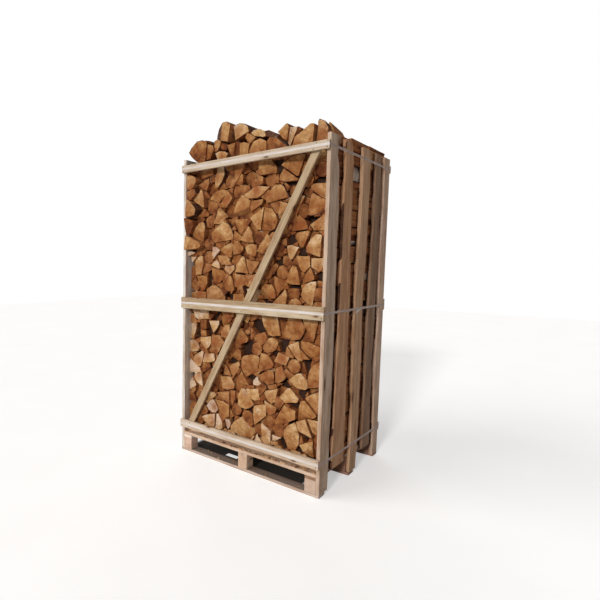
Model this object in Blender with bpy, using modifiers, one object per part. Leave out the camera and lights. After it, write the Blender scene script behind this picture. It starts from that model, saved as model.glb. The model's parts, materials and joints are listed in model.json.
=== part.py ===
"""Pallet of firewood.

Split birch logs lie three rows deep in a tall slatted crate, which is nailed together on a wooden pallet
and held by three flat bands. Metres, +Z up. The origin is on the floor under the middle of the pallet.
The front, with the brace, faces -Y. X runs across the front and Y from the front to the back.
"""

import math

import bmesh
import bpy
from mathutils import Vector

# Driving dimensions of the crate
WIDTH = 1.2
DEPTH = 1.0
UPRIGHT_TOP = 2.3
UPRIGHT_THICK = 0.025
GAP = 0.0003
EDGE_BEVEL = 0.0015

# Pallet, from the floor up
BOARD_THICK = 0.022
SKID_DEPTH = 0.082
BLOCK_WIDTH = 0.077
BLOCK_HEIGHT = 0.088
DECK_COUNT = 7
DECK_BOARD_DEPTH = 0.095

# Lowest and highest edge of each rail across the front and the back
RAILS = {"bottom": (0.197, 0.258), "middle": (1.159, 1.244), "top": (2.200, 2.254)}

# Brace: how far from the middle and how high its visible ends are, and how far it runs on behind the rails
BRACE_WIDTH = 0.052
BRACE_THICK = 0.020
BRACE_REACH = 0.497
BRACE_HEIGHTS = (0.262, 2.190)
BRACE_HIDDEN = 0.035

# Bands round the whole crate, at the middle of each rail
BAND_WIDTH = 0.016
BAND_THICK = 0.0008
BAND_CORNER = 0.004
BAND_CORNER_STEPS = 3

# Logs: their length, and the slack between two rows of them
LOG_LENGTH = 0.318
ROW_SLACK = 0.002

# Each upright's two sawn edges as (height, place in Y), for the right side. The front edge comes first.
FRONT_POST = (
    [(2.30, -0.500), (0.02, -0.500)],
    [(2.30, -0.374), (2.23, -0.376), (2.18, -0.395), (2.12, -0.368), (1.86, -0.361), (1.38, -0.367),
     (0.92, -0.361), (0.53, -0.367), (0.02, -0.376)],
)
FRONT_SLAT = (
    [(2.30, -0.282), (2.15, -0.275), (1.87, -0.292), (1.49, -0.292), (1.23, -0.306), (1.14, -0.296),
     (0.69, -0.308), (0.33, -0.324), (0.14, -0.329)],
    [(2.30, -0.197), (2.19, -0.157), (1.91, -0.157), (1.61, -0.149), (1.40, -0.138), (1.00, -0.132),
     (0.72, -0.124), (0.14, -0.131)],
)
MIDDLE_POST = (
    [(2.30, -0.011), (2.07, 0.003), (1.80, -0.004), (1.58, -0.024), (1.12, -0.044), (0.87, -0.036),
     (0.38, -0.022), (0.02, -0.034)],
    [(2.30, 0.121), (2.22, 0.130), (1.84, 0.126), (1.59, 0.115), (1.30, 0.095), (1.11, 0.096),
     (0.70, 0.110), (0.38, 0.103), (0.02, 0.081)],
)
REAR_SLAT = (
    [(2.30, 0.227), (1.86, 0.234), (1.46, 0.213), (1.10, 0.196), (0.60, 0.197), (0.13, 0.184)],
    [(2.30, 0.322), (2.00, 0.341), (1.74, 0.348), (1.50, 0.330), (1.12, 0.332), (0.80, 0.317),
     (0.43, 0.328), (0.13, 0.333)],
)
REAR_POST = (
    [(2.30, 0.392), (1.95, 0.404), (1.60, 0.386), (1.10, 0.408), (0.70, 0.387), (0.27, 0.403), (0.02, 0.401)],
    [(2.30, 0.500), (0.02, 0.500)],
)

# The heap's top outline in each row as (X, height), from left to right
FRONT_CREST = [
    (-0.585, 2.335), (-0.559, 2.374), (-0.478, 2.420), (-0.409, 2.430), (-0.324, 2.458), (-0.287, 2.515),
    (-0.215, 2.522), (-0.125, 2.471), (-0.049, 2.480), (-0.006, 2.428), (0.059, 2.426), (0.116, 2.400),
    (0.201, 2.385), (0.281, 2.419), (0.318, 2.390), (0.375, 2.380), (0.471, 2.389), (0.510, 2.399),
    (0.550, 2.373), (0.585, 2.330),
]
MIDDLE_CREST = [
    (-0.585, 2.335), (-0.530, 2.385), (-0.430, 2.400), (-0.330, 2.445), (-0.240, 2.425), (-0.150, 2.455),
    (-0.060, 2.430), (0.040, 2.450), (0.130, 2.415), (0.220, 2.435), (0.310, 2.395), (0.400, 2.405),
    (0.470, 2.370), (0.530, 2.345), (0.585, 2.330),
]
REAR_CREST = [
    (-0.585, 2.325), (-0.520, 2.370), (-0.420, 2.410), (-0.330, 2.390), (-0.230, 2.435), (-0.120, 2.410),
    (-0.020, 2.430), (0.080, 2.400), (0.180, 2.425), (0.280, 2.405), (0.370, 2.420), (0.440, 2.385),
    (0.500, 2.360), (0.545, 2.330), (0.585, 2.318),
]

# Colours as red, green and blue shares of linear light
PALE_PINE = (0.60, 0.45, 0.25)
SHADED_PINE = (0.42, 0.28, 0.16)
SAWN_TAN = (0.52, 0.34, 0.20)
BLOCK_PINK = (0.56, 0.36, 0.24)
SPLIT_BIRCH = (0.46, 0.24, 0.10)
BAND_WHITE = (0.80, 0.78, 0.76)

FLOOR_TO_BLOCK = BOARD_THICK + GAP
FLOOR_TO_STRINGER = FLOOR_TO_BLOCK + BLOCK_HEIGHT + GAP
FLOOR_TO_DECK = FLOOR_TO_STRINGER + BOARD_THICK + GAP
DECK_TOP = FLOOR_TO_DECK + BOARD_THICK
INNER_REACH = WIDTH / 2 - UPRIGHT_THICK - GAP
RAIL_BACK = DEPTH / 2 + GAP
RAIL_FACE = RAIL_BACK + BOARD_THICK


def clear_scene():
    """Start from an empty scene."""
    for obj in list(bpy.data.objects):
        bpy.data.objects.remove(obj, do_unlink=True)


def new_collection(name):
    """A collection for the finished pieces."""
    collection = bpy.data.collections.new(name)
    bpy.context.scene.collection.children.link(collection)
    return collection


def new_frame(collection):
    """The empty that carries every piece."""
    frame = bpy.data.objects.new("pallet_frame", None)
    collection.objects.link(frame)
    return frame


def finish(name, colour, roughness):
    """One piece's own material."""
    material = bpy.data.materials.new(name)
    material.use_nodes = True
    shader = material.node_tree.nodes["Principled BSDF"]
    shader.inputs["Base Color"].default_value = (*colour, 1.0)
    shader.inputs["Roughness"].default_value = roughness
    shader.inputs["Metallic"].default_value = 0.0
    return material


def add_piece(name, data, colour, roughness=0.75):
    """An object of this data in the collection, carried by the frame."""
    piece = bpy.data.objects.new(name, data)
    data.materials.append(finish(name, colour, roughness))
    PARTS.objects.link(piece)
    piece.parent = FRAME
    return piece


def ease_edges(piece, width=EDGE_BEVEL):
    """Take the sharpness off the sawn edges."""
    bevel = piece.modifiers.new("eased_edges", "BEVEL")
    bevel.width = width
    bevel.segments = 1
    bevel.limit_method = "ANGLE"
    bevel.angle_limit = math.radians(30)


def board(name, size, centre, colour):
    """A sawn board or block, by its size and its centre."""
    mesh = bpy.data.meshes.new(name)
    shape = bmesh.new()
    bmesh.ops.create_cube(shape, size=1.0)
    bmesh.ops.scale(shape, vec=Vector(size), verts=shape.verts)
    shape.to_mesh(mesh)
    shape.free()
    piece = add_piece(name, mesh, colour)
    piece.location = centre
    ease_edges(piece)
    return piece


def flat_outline(name, loops, thick, colour, roughness=0.75):
    """A flat piece: closed outlines filled and given a thickness. A second outline is a hole."""
    curve = bpy.data.curves.new(name, "CURVE")
    curve.dimensions = "2D"
    curve.fill_mode = "BOTH"
    curve.extrude = thick / 2
    for points in loops:
        spline = curve.splines.new("POLY")
        spline.points.add(len(points) - 1)
        for point, (across, up) in zip(spline.points, points):
            point.co = (across, up, 0.0, 1.0)
        spline.use_cyclic_u = True
    piece = add_piece(name, curve, colour, roughness)
    join = piece.modifiers.new("joined_caps", "WELD")
    join.merge_threshold = 0.00001
    return piece


def pallet():
    """Three skids, nine blocks, three stringers and the deck boards."""
    rows = {"front": -1, "middle": 0, "rear": 1}
    columns = {"left": -1, "center": 0, "right": 1}
    row_reach = (DEPTH - SKID_DEPTH) / 2
    column_reach = INNER_REACH - BLOCK_WIDTH / 2
    for row, side in rows.items():
        size = (WIDTH, SKID_DEPTH, BOARD_THICK)
        board(f"skid_{row}", size, (0, side * row_reach, BOARD_THICK / 2), SAWN_TAN)
    for row, row_side in rows.items():
        for column, column_side in columns.items():
            size = (BLOCK_WIDTH, SKID_DEPTH, BLOCK_HEIGHT)
            middle = (column_side * column_reach, row_side * row_reach, FLOOR_TO_BLOCK + BLOCK_HEIGHT / 2)
            board(f"block_{row}_{column}", size, middle, BLOCK_PINK)
    for column, side in columns.items():
        size = (BLOCK_WIDTH, DEPTH, BOARD_THICK)
        board(f"stringer_{column}", size, (side * column_reach, 0, FLOOR_TO_STRINGER + BOARD_THICK / 2), SAWN_TAN)
    step = (DEPTH - DECK_BOARD_DEPTH) / (DECK_COUNT - 1)
    for index in range(DECK_COUNT):
        size = (2 * INNER_REACH, DECK_BOARD_DEPTH, BOARD_THICK)
        place = -DEPTH / 2 + DECK_BOARD_DEPTH / 2 + index * step
        board(f"deck_board_{index + 1}", size, (0, place, FLOOR_TO_DECK + BOARD_THICK / 2), SAWN_TAN)


def turned_over(edges):
    """The same board with its top end down, so that its edges bulge at other heights."""
    heights = [height for height, _ in edges[0]]
    ends = min(heights) + max(heights)
    return [[(ends - height, place) for height, place in reversed(edge)] for edge in edges]


def upright(name, edges, side, colour, foot):
    """One board of a side wall. side is 1 on the right and -1 on the left, and foot is its lower end."""
    front, rear = edges
    outline = [(place, max(height, foot)) for height, place in front]
    outline += [(place, max(height, foot)) for height, place in reversed(rear)]
    piece = flat_outline(name, [outline], UPRIGHT_THICK, colour)
    piece.rotation_euler = (math.radians(90), 0, math.radians(90))
    piece.location = (side * (WIDTH / 2 - UPRIGHT_THICK / 2), 0, 0)
    ease_edges(piece)


def side_walls():
    """Three posts on the skids' ends and two slats between them, on each side."""
    post_foot = BOARD_THICK + GAP
    for label, side in (("left", -1), ("right", 1)):
        for place, edges in (("front", FRONT_POST), ("middle", MIDDLE_POST), ("rear", REAR_POST)):
            upright(f"post_{label}_{place}", edges, side, SHADED_PINE, post_foot)
        for place, edges in (("front", FRONT_SLAT), ("rear", REAR_SLAT)):
            own_edges = turned_over(edges) if side < 0 else edges
            upright(f"slat_{label}_{place}", own_edges, side, SHADED_PINE, 0.0)


def end_walls():
    """Three rails and one brace across the front, and the same across the back."""
    for label, side in (("front", -1), ("rear", 1)):
        for place, (low, high) in RAILS.items():
            size = (WIDTH, BOARD_THICK, high - low)
            middle = (0, side * (RAIL_BACK + BOARD_THICK / 2), (low + high) / 2)
            board(f"rail_{label}_{place}", size, middle, PALE_PINE)
        brace(label, side)


def brace(label, side):
    """The leaning board between the rails and the logs. Its ends are nailed behind the rails."""
    low, high = BRACE_HEIGHTS
    rise = high - low
    run = 2 * BRACE_REACH
    size = (BRACE_WIDTH, BRACE_THICK, math.hypot(run, rise) + 2 * BRACE_HIDDEN)
    middle = (0, side * (DEPTH / 2 - GAP - BRACE_THICK / 2), (low + high) / 2)
    piece = board(f"brace_{label}", size, middle, PALE_PINE)
    piece.rotation_euler = (0, -side * math.atan2(run, rise), 0)


def rounded_loop(reach_x, reach_y, radius):
    """A rectangle about the origin with round corners, as points."""
    points = []
    for quarter, (sign_x, sign_y) in enumerate(((1, 1), (-1, 1), (-1, -1), (1, -1))):
        for step in range(BAND_CORNER_STEPS + 1):
            angle = math.radians(90) * (quarter + step / BAND_CORNER_STEPS)
            across = sign_x * (reach_x - radius) + radius * math.cos(angle)
            up = sign_y * (reach_y - radius) + radius * math.sin(angle)
            points.append((across, up))
    return points


def bands():
    """A flat plastic band round the crate over each pair of rails."""
    inner = (WIDTH / 2 + GAP, RAIL_FACE + GAP)
    outer = (inner[0] + BAND_THICK, inner[1] + BAND_THICK)
    for place, (low, high) in RAILS.items():
        loops = [
            rounded_loop(*outer, EDGE_BEVEL + BAND_THICK),
            rounded_loop(*inner, EDGE_BEVEL),
        ]
        piece = flat_outline(f"band_{place}", loops, BAND_WIDTH, BAND_WHITE, 0.35)
        piece.location = (0, 0, (low + high) / 2)


def log_row(name, crest, place):
    """The space that one row of stacked logs fills, from the deck to the tips of its top logs."""
    foot = DECK_TOP + GAP
    ledge = UPRIGHT_TOP + GAP
    outline = [(-INNER_REACH, foot), (INNER_REACH, foot), (INNER_REACH, ledge), (crest[-1][0], ledge)]
    outline += list(reversed(crest))
    outline += [(crest[0][0], ledge), (-INNER_REACH, ledge)]
    piece = flat_outline(name, [outline], LOG_LENGTH, SPLIT_BIRCH, 0.85)
    piece.rotation_euler = (math.radians(90), 0, 0)
    piece.location = (0, place, 0)


def firewood():
    """Three rows of logs, one behind another."""
    step = LOG_LENGTH + ROW_SLACK
    log_row("firewood_row_front", FRONT_CREST, -step)
    log_row("firewood_row_middle", MIDDLE_CREST, 0.0)
    log_row("firewood_row_rear", REAR_CREST, step)


clear_scene()
PARTS = new_collection("pallet of firewood")
FRAME = new_frame(PARTS)
pallet()
side_walls()
end_walls()
bands()
firewood()
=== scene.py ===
"""Looks of the pallet of firewood: sawn boards, bands, nails and the stacked split logs.

Metres, +Z up. The front, with the brace, faces -Y. Colours are 0 to 255 values, as the eye sees them.
"""

import json
import math

import bmesh
import bpy
import numpy as np
from mathutils import Matrix, Vector

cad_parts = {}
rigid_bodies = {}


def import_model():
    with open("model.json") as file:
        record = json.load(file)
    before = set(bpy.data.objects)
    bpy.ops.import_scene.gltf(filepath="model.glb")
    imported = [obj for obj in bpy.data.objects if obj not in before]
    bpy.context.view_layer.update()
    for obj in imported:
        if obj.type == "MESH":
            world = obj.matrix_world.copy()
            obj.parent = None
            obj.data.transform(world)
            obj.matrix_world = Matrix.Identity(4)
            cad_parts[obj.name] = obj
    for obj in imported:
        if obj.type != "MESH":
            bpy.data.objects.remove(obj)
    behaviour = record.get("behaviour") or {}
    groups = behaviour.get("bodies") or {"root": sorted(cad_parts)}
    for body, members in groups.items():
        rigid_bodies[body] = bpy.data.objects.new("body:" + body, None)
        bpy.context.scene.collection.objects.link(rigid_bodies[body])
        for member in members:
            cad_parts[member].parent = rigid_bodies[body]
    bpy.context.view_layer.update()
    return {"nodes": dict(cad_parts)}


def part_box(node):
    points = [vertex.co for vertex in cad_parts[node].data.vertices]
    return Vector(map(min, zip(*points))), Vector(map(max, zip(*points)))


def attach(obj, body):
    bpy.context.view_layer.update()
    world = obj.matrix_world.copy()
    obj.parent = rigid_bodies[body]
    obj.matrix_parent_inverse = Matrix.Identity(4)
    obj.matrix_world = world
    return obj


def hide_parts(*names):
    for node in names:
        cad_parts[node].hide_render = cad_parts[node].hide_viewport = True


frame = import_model()

FULL_TURN = 2 * math.pi

# Camera: the photograph's own view
CAMERA_PLACE = (1.886, -3.195, 1.506)
CAMERA_YAW = 42.46
CAMERA_DOWN = 5.37
CAMERA_ROLL = 0.43
CAMERA_LENS = 27.79
CAMERA_SHIFT = (0.192, 0.012)
SENSOR_WIDTH = 36
PHOTO_SIZE = 600

# Light: a soft lamp just right of the front, and broad ones from the front left and the back. Each has the
# direction that it comes from, its strength, its softness in degrees and its colour.
LAMPS = {
    "key": ((0.155, -0.95, 0.42), 1.75, 9, (1.0, 0.97, 0.94)),
    "fill": ((-0.60, -0.70, 0.60), 1.35, 45, (1.0, 0.98, 0.96)),
    "back": ((-0.6, 0.8, 0.5), 0.6, 45, (1.0, 0.98, 0.96)),
}
SKY_COLOUR = (1.0, 0.97, 0.96)
SKY_STRENGTH = 0.15
FLOOR_REACH = 14.0
FLOOR_GLOW = 0.42
# The floor under the pallet, painted near black as a shadow, and the patch in it painted pale as light that
# reaches through: left, right, near and far, and how wide the soft edge of each is
PAINTED_SHADOW_FLOOR = (-0.62, 0.45, -0.50, 0.52)
PAINTED_SHADOW_EDGE = 0.04
PAINTED_LIGHT_FLOOR = (-0.265, -0.150, -0.362, -0.310)
PAINTED_LIGHT_EDGE = 0.008

# Where each kind of random draw starts. The front row of logs has the number given, the others the next two.
SEEDS = {"boards": 11, "uprights": 23, "nails": 31, "chips": 37, "logs": 40}
# Shorter than any side or way that counts
TINY = 1e-6
ROWS = ("front", "middle", "rear")


# Objects and directions

def placed(name, data):
    """A new object in the scene."""
    piece = bpy.data.objects.new(name, data)
    bpy.context.scene.collection.objects.link(piece)
    return piece


def carry(mesh, label, values):
    """Give each point of a mesh three numbers of its own."""
    layer = mesh.attributes.new(label, "FLOAT_VECTOR", "POINT")
    layer.data.foreach_set("vector", np.array(values, np.float32).ravel())


def pointing(angle):
    return np.array((math.cos(angle), math.sin(angle)))


# Shader nodes

def seen(red, green, blue):
    """A colour as the eye sees it, 0 to 255, as linear light."""
    shares = (red / 255, green / 255, blue / 255)
    return tuple(share / 12.92 if share < 0.04045 else ((share + 0.055) / 1.055) ** 2.4 for share in shares)


class Finish:
    """A material whose shader nodes are added one after another."""

    def __init__(self, name, roughness, specular=0.3):
        self.material = bpy.data.materials.new(name)
        self.material.use_nodes = True
        self.tree = self.material.node_tree
        self.shader = self.tree.nodes["Principled BSDF"]
        self.shader.inputs["Roughness"].default_value = roughness
        self.shader.inputs["Specular IOR Level"].default_value = specular
        self.place = self.add("ShaderNodeTexCoord").outputs["Object"]

    def add(self, kind, feeds=None, **settings):
        node = self.tree.nodes.new(kind)
        for setting, value in settings.items():
            setattr(node, setting, value)
        for socket, value in (feeds or {}).items():
            self.feed(node.inputs[socket], value)
        return node

    def feed(self, socket, value):
        if isinstance(value, bpy.types.NodeSocket):
            self.tree.links.new(value, socket)
        elif socket.type == "RGBA":
            socket.default_value = (*value, 1.0)
        else:
            socket.default_value = value

    def sum(self, operation, *values):
        """A Math node. Values are numbers or sockets."""
        node = self.add("ShaderNodeMath", dict(enumerate(values)), operation=operation)
        return node.outputs[0]

    def times(self, value, other):
        return self.sum("MULTIPLY", value, other)

    def plus(self, value, other, share):
        """A value and a share of another one, added up."""
        return self.sum("ADD", value, self.times(other, share))

    def length(self, x, y):
        """How far a place is from the middle."""
        return self.sum("SQRT", self.sum("ADD", self.sum("POWER", x, 2.0), self.sum("POWER", y, 2.0)))

    def parts(self, vector):
        """A vector's three numbers."""
        return self.add("ShaderNodeSeparateXYZ", {0: vector}).outputs

    def vector(self, x, y, z):
        return self.add("ShaderNodeCombineXYZ", {0: x, 1: y, 2: z}).outputs[0]

    def stretched(self, vector, scale, shift=(0, 0, 0)):
        """The vector with each axis scaled, so that a pattern on it is stretched."""
        feeds = {"Vector": vector, "Scale": scale, "Location": shift}
        return self.add("ShaderNodeMapping", feeds).outputs[0]

    def noise(self, vector, scale=1.0, detail=2.0, rough=0.5):
        feeds = {"Vector": vector, "Scale": scale, "Detail": detail, "Roughness": rough}
        return self.add("ShaderNodeTexNoise", feeds).outputs[0]

    def grain(self, vector, scale, shift=(0, 0, 0), detail=2.0, rough=0.5):
        """Noise that is stretched along the vector's axes."""
        return self.noise(self.stretched(vector, scale, shift), 1.0, detail, rough)

    def cells(self, vector):
        """The distance to the nearest of many scattered points in the vector's X and Y."""
        feeds = {"Vector": vector, "Scale": 1.0}
        return self.add("ShaderNodeTexVoronoi", feeds, voronoi_dimensions="2D").outputs["Distance"]

    def span(self, value, low, high, to_low=0.0, to_high=1.0):
        """The value's range low to high, laid over another range and held within it."""
        feeds = {0: value, 1: low, 2: high, 3: to_low, 4: to_high}
        return self.add("ShaderNodeMapRange", feeds).outputs[0]

    def ramp(self, value, *stops):
        """A colour from stops of (place, colour)."""
        node = self.add("ShaderNodeValToRGB", {0: value})
        points = node.color_ramp.elements
        while len(points) < len(stops):
            points.new(1.0)
        for point, (place, colour) in zip(points, stops):
            point.position = place
            point.color = (*colour, 1.0)
        return node.outputs[0]

    def mixed(self, share, first, second, kind="MIX"):
        """Two colours mixed."""
        node = self.add("ShaderNodeMix", {0: share, 6: first, 7: second}, data_type="RGBA", blend_type=kind)
        return node.outputs[2]

    def box_distance(self, x, y, box):
        """How far a place is outside a box of (left, right, near, far), below 0 inside it."""
        outside = []
        for value, (low, high) in ((x, box[:2]), (y, box[2:])):
            away = self.sum("ABSOLUTE", self.sum("SUBTRACT", value, (low + high) / 2))
            outside.append(self.sum("SUBTRACT", away, (high - low) / 2))
        return self.sum("MAXIMUM", *outside)

    def own(self, attribute):
        """A value that the mesh carries for each log."""
        return self.add("ShaderNodeAttribute", attribute_name=attribute).outputs["Vector"]

    def done(self, colour, height=None, depth=0.001, rough=None):
        """Connect the colour, the relief and the roughness, and return the material."""
        self.feed(self.shader.inputs["Base Color"], colour)
        if rough is not None:
            self.feed(self.shader.inputs["Roughness"], rough)
        if height is not None:
            bump = self.add("ShaderNodeBump", {"Height": height, "Distance": depth, "Strength": 1.0})
            self.feed(self.shader.inputs["Normal"], bump.outputs[0])
        return self.material


# Sawn boards

PINE = {
    "pale": seen(214, 196, 170),
    "ring": seen(182, 154, 122),
    "stain": seen(146, 114, 86),
    "knot": seen(96, 60, 38),
    "end": seen(180, 148, 114),
}
UPRIGHT = {
    "pale": seen(216, 190, 166),
    "ring": seen(182, 148, 120),
    "stain": seen(132, 102, 82),
    "knot": seen(88, 52, 34),
    "end": seen(166, 130, 102),
}
PALLET = {
    "pale": seen(214, 190, 168),
    "ring": seen(186, 154, 128),
    "stain": seen(136, 104, 82),
    "knot": seen(92, 56, 36),
    "end": seen(222, 196, 172),
}
BLOCK = {
    "pale": seen(226, 196, 170),
    "ring": seen(200, 160, 128),
    "stain": seen(158, 118, 90),
    "knot": seen(104, 62, 40),
    "end": seen(216, 182, 152),
}
BARK_DARK = seen(46, 28, 20)
BARK_RUSTY = seen(104, 66, 44)

# How much darker or browner single boards are than their kind, as shares of red, green and blue. Some are
# darkened as painted shade.
BOARD_TINTS = {
    "brace_front": (0.74, 0.69, 0.60),
    "brace_rear": (0.85, 0.80, 0.72),
    "slat_right_front": (0.84, 0.64, 0.48),
    "post_right_middle": (0.82, 0.69, 0.56),
    "slat_right_rear": (0.46, 0.38, 0.32),
    "post_right_rear": (0.92, 0.88, 0.88),
    "post_left_front": (1.10, 1.38, 1.72),
    "slat_left_front": (0.62, 0.60, 0.66),
    "slat_left_rear": (0.90, 0.78, 0.68),
    "block_front_left": (1.02, 1.06, 1.20),
    "block_front_center": (0.94, 0.98, 1.02),
    "block_front_right": (0.88, 0.96, 1.10),
    # Painted shade: these blocks are darkened as if in the shadow under the stack
    "block_middle_right": (0.62, 0.50, 0.50),
    "block_rear_right": (0.62, 0.50, 0.50),
    "skid_front": (0.88, 0.92, 1.02),
    # Painted shade: these skids are darkened as if in the shadow under the stack
    "skid_middle": (0.64, 0.52, 0.52),
    "skid_rear": (0.64, 0.52, 0.52),
    "stringer_left": (1.25, 1.40, 1.60),
    # Partly painted shade: the right stringer is darkened for its brown end and for the shadow lines round it
    "stringer_right": (0.50, 0.38, 0.30),
    "rail_front_bottom": (0.96, 0.98, 1.06),
    "rail_front_middle": (0.90, 0.92, 0.90),
    "rail_front_top": (0.88, 0.89, 0.92),
    "post_right_front": (0.87, 0.88, 0.90),
}
# A brown stain along a board's upper edge: where it fades out and where it is full, from the board's middle
EDGE_STAINS = {"rail_front_middle": (0.004, 0.014), "rail_rear_top": (0.004, 0.024)}
# How far the upward faces of the skids are darkened
SKID_TOP_DARKENING = 0.62
# How far apart the growth rings are
BOARD_RINGS = 0.0052


def tinted(tone, tint):
    return {part: tuple(min(value * share, 1.0) for value, share in zip(colour, tint))
            for part, colour in tone.items()}


def sawn_board(name, tone, centre, along, rng, lean=0.0):
    """Rough-sawn softwood. along is the axis that the board runs along, and lean turns it about Y."""
    finish = Finish(name, 0.72)
    place = finish.stretched(finish.place, (1, 1, 1), [-value for value in centre])
    if lean:
        place = finish.add("ShaderNodeMapping", {"Vector": place, "Rotation": (0, lean, 0)}).outputs[0]
    axes = finish.parts(place)
    low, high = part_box(name)
    others = sorted((axis for axis in range(3) if axis != along), key=lambda axis: high[axis] - low[axis])
    thin, broad = (1, 0) if lean else others
    length, thick, wide = axes[along], axes[thin], axes[broad]
    flat = finish.vector(length, wide, thick)
    shift = tuple(rng.uniform(0, 40, 3))

    sway = finish.grain(flat, (1.4, 6, 6), shift, detail=1.0)
    heart = rng.uniform(-0.05, 0.05)
    across = finish.plus(finish.sum("SUBTRACT", wide, heart), sway, 0.06)
    deep = finish.sum("SUBTRACT", thick, rng.uniform(0.02, 0.05))
    rings = finish.sum("SINE", finish.times(finish.length(across, deep), FULL_TURN / BOARD_RINGS))

    fibre = finish.grain(flat, (4, 130, 130), shift, detail=4.0, rough=0.6)
    streak = finish.grain(flat, (1.6, 24, 24), shift, detail=4.0, rough=0.62)
    cloud = finish.grain(flat, (7, 22, 22), shift[::-1], detail=3.0, rough=0.6)
    figure = finish.plus(finish.times(streak, 0.9), fibre, 0.45)
    figure = finish.plus(figure, cloud, 0.5)
    colour = finish.ramp(figure, (0.78, tone["ring"]), (1.02, tone["pale"]))
    latewood = finish.times(finish.span(rings, 0.3, 1.0), finish.span(streak, 0.35, 0.6, 0.12, 0.42))
    colour = finish.mixed(latewood, colour, tone["ring"])

    blotch = finish.grain(flat, (3.2, 11, 11), shift, detail=5.0, rough=0.68)
    colour = finish.mixed(finish.span(blotch, 0.52, 0.72, 0.0, 0.40), colour, tone["stain"])
    if name in EDGE_STAINS:
        edge = finish.span(wide, *EDGE_STAINS[name])
        edge = finish.times(edge, finish.span(cloud, 0.38, 0.55, 0.55, 1.0))
        colour = finish.mixed(edge, colour, finish.ramp(fibre, (0.32, tone["stain"]), (0.58, tone["ring"])))

    knot_place = finish.vector(finish.plus(length, sway, 0.02), wide, 0.0)
    knot_cells = (0.7, 3.0, 1.0) if name.startswith(("post", "slat")) else (1.8, 5.0, 1.0)
    knot = finish.cells(finish.stretched(knot_place, knot_cells, shift))
    colour = finish.mixed(finish.span(knot, 0.04, 0.10, 0.6, 0.0), colour, tone["ring"])
    colour = finish.mixed(finish.span(knot, 0.02, 0.045, 0.85, 0.0), colour, tone["knot"])

    facings = finish.parts(finish.tree.nodes["Texture Coordinate"].outputs["Normal"])
    if name.startswith("skid"):
        # The skids are darker on their upward faces
        colour = finish.mixed(finish.span(facings[2], 0.5, 0.9, 0.0, SKID_TOP_DARKENING), colour, seen(64, 50, 42))
    end_face = finish.span(finish.sum("ABSOLUTE", facings[along]), 0.80, 0.90)
    end_look = finish.ramp(finish.plus(blotch, rings, 0.16), (0.25, tone["stain"]), (0.55, tone["end"]))
    colour = finish.mixed(end_face, colour, end_look)

    wane = finish.parts(finish.own("board_wane"))[0]
    flecks = finish.grain(finish.place, (150, 150, 40), shift, detail=4.0, rough=0.7)
    bark_share = finish.span(finish.plus(wane, flecks, 0.8), 0.96, 1.16)
    bark_colour = finish.ramp(flecks, (0.35, BARK_DARK), (0.65, BARK_RUSTY))
    colour = finish.mixed(bark_share, colour, bark_colour)

    marks = finish.grain(flat, (260, 9, 9), shift, detail=1.0)
    relief = finish.plus(finish.times(fibre, 0.8), marks, 0.5)
    relief = finish.plus(relief, finish.times(flecks, bark_share), 3.0)
    rough = finish.span(streak, 0.3, 0.7, 0.62, 0.85)
    return finish.done(colour, relief, 0.0012, rough)


def board_finish(name, rng):
    """A finish of its own for one board, with the grain along its length."""
    kinds = {
        "rail": (PINE, 0), "brace": (PINE, 2), "post": (UPRIGHT, 2), "slat": (UPRIGHT, 2),
        "skid": (PALLET, 0), "deck": (PALLET, 0), "stringer": (PALLET, 1), "block": (BLOCK, 1),
    }
    kind = name.split("_")[0]
    tone, along = kinds[kind]
    low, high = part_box(name)
    centre = [(low[axis] + high[axis]) / 2 for axis in range(3)]
    lean = 0.0
    if kind == "brace":
        lean = math.atan2(high[0] - low[0], high[2] - low[2]) * (1 if "rear" in name else -1)
    tint = BOARD_TINTS.get(name)
    if tint is None:
        warmth = rng.uniform(0.0, 0.10)
        tint = (1.0 - warmth * 0.5, 1.0 - warmth, 1.0 - warmth * 1.4)
    return sawn_board(name, tinted(tone, tint), centre, along, rng, lean)


def flat_boards():
    """The boards and blocks whose solids show: rails, braces and the pallet."""
    rng = np.random.default_rng(SEEDS["boards"])
    for name in frame["nodes"]:
        if name.split("_")[0] in ("rail", "brace", "skid", "deck", "stringer", "block"):
            obj = bpy.data.objects[name]
            obj.data.materials.clear()
            obj.data.materials.append(board_finish(name, rng))


# Uprights with waney edges

WANE_STEP = 0.018
# How uneven the straight edges at the crate's corners and the other edges are, and how far corners are eased
STRAIGHT_EDGE = 0.0004
UNEVEN_EDGE = 0.0016
EASED_CORNER = 0.0012
# How far the bark edge's colour still spreads over the board's faces, and the sharpest turn that looks round
WANE_FADE = 0.010
BOARD_TURN = 32
# How wide the bark edge is at most: on the front edge's outer and inner corners, then on the rear edge's
WANES = {
    "post_right_front": (0.0, 0.0, 0.005, 0.006), "slat_right_front": (0.003, 0.019, 0.007, 0.008),
    "post_right_middle": (0.0, 0.005, 0.007, 0.006), "slat_right_rear": (0.0, 0.006, 0.008, 0.006),
    "post_right_rear": (0.0, 0.006, 0.0, 0.0), "post_left_front": (0.0, 0.0, 0.006, 0.008),
    "slat_left_front": (0.010, 0.014, 0.006, 0.006), "post_left_middle": (0.004, 0.008, 0.008, 0.010),
    "slat_left_rear": (0.008, 0.004, 0.004, 0.008), "post_left_rear": (0.006, 0.004, 0.0, 0.0),
}


def sawn_edges(name):
    """An upright's two edges, read from its solid: place in Y as a function of the height."""
    low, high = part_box(name)
    middle = (low.y + high.y) / 2
    ease = 0.001
    chains = ([], [])
    for vertex in bpy.data.objects[name].data.vertices:
        x, y, z = vertex.co
        inside = low.x + ease < x < high.x - ease and low.z + ease < z < high.z - ease
        if inside:
            chains[int(y > middle)].append((z, y))
    for chain in chains:
        chain.sort()
    return [lambda z, chain=chain: np.interp(z, *zip(*chain)) for chain in chains]


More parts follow.
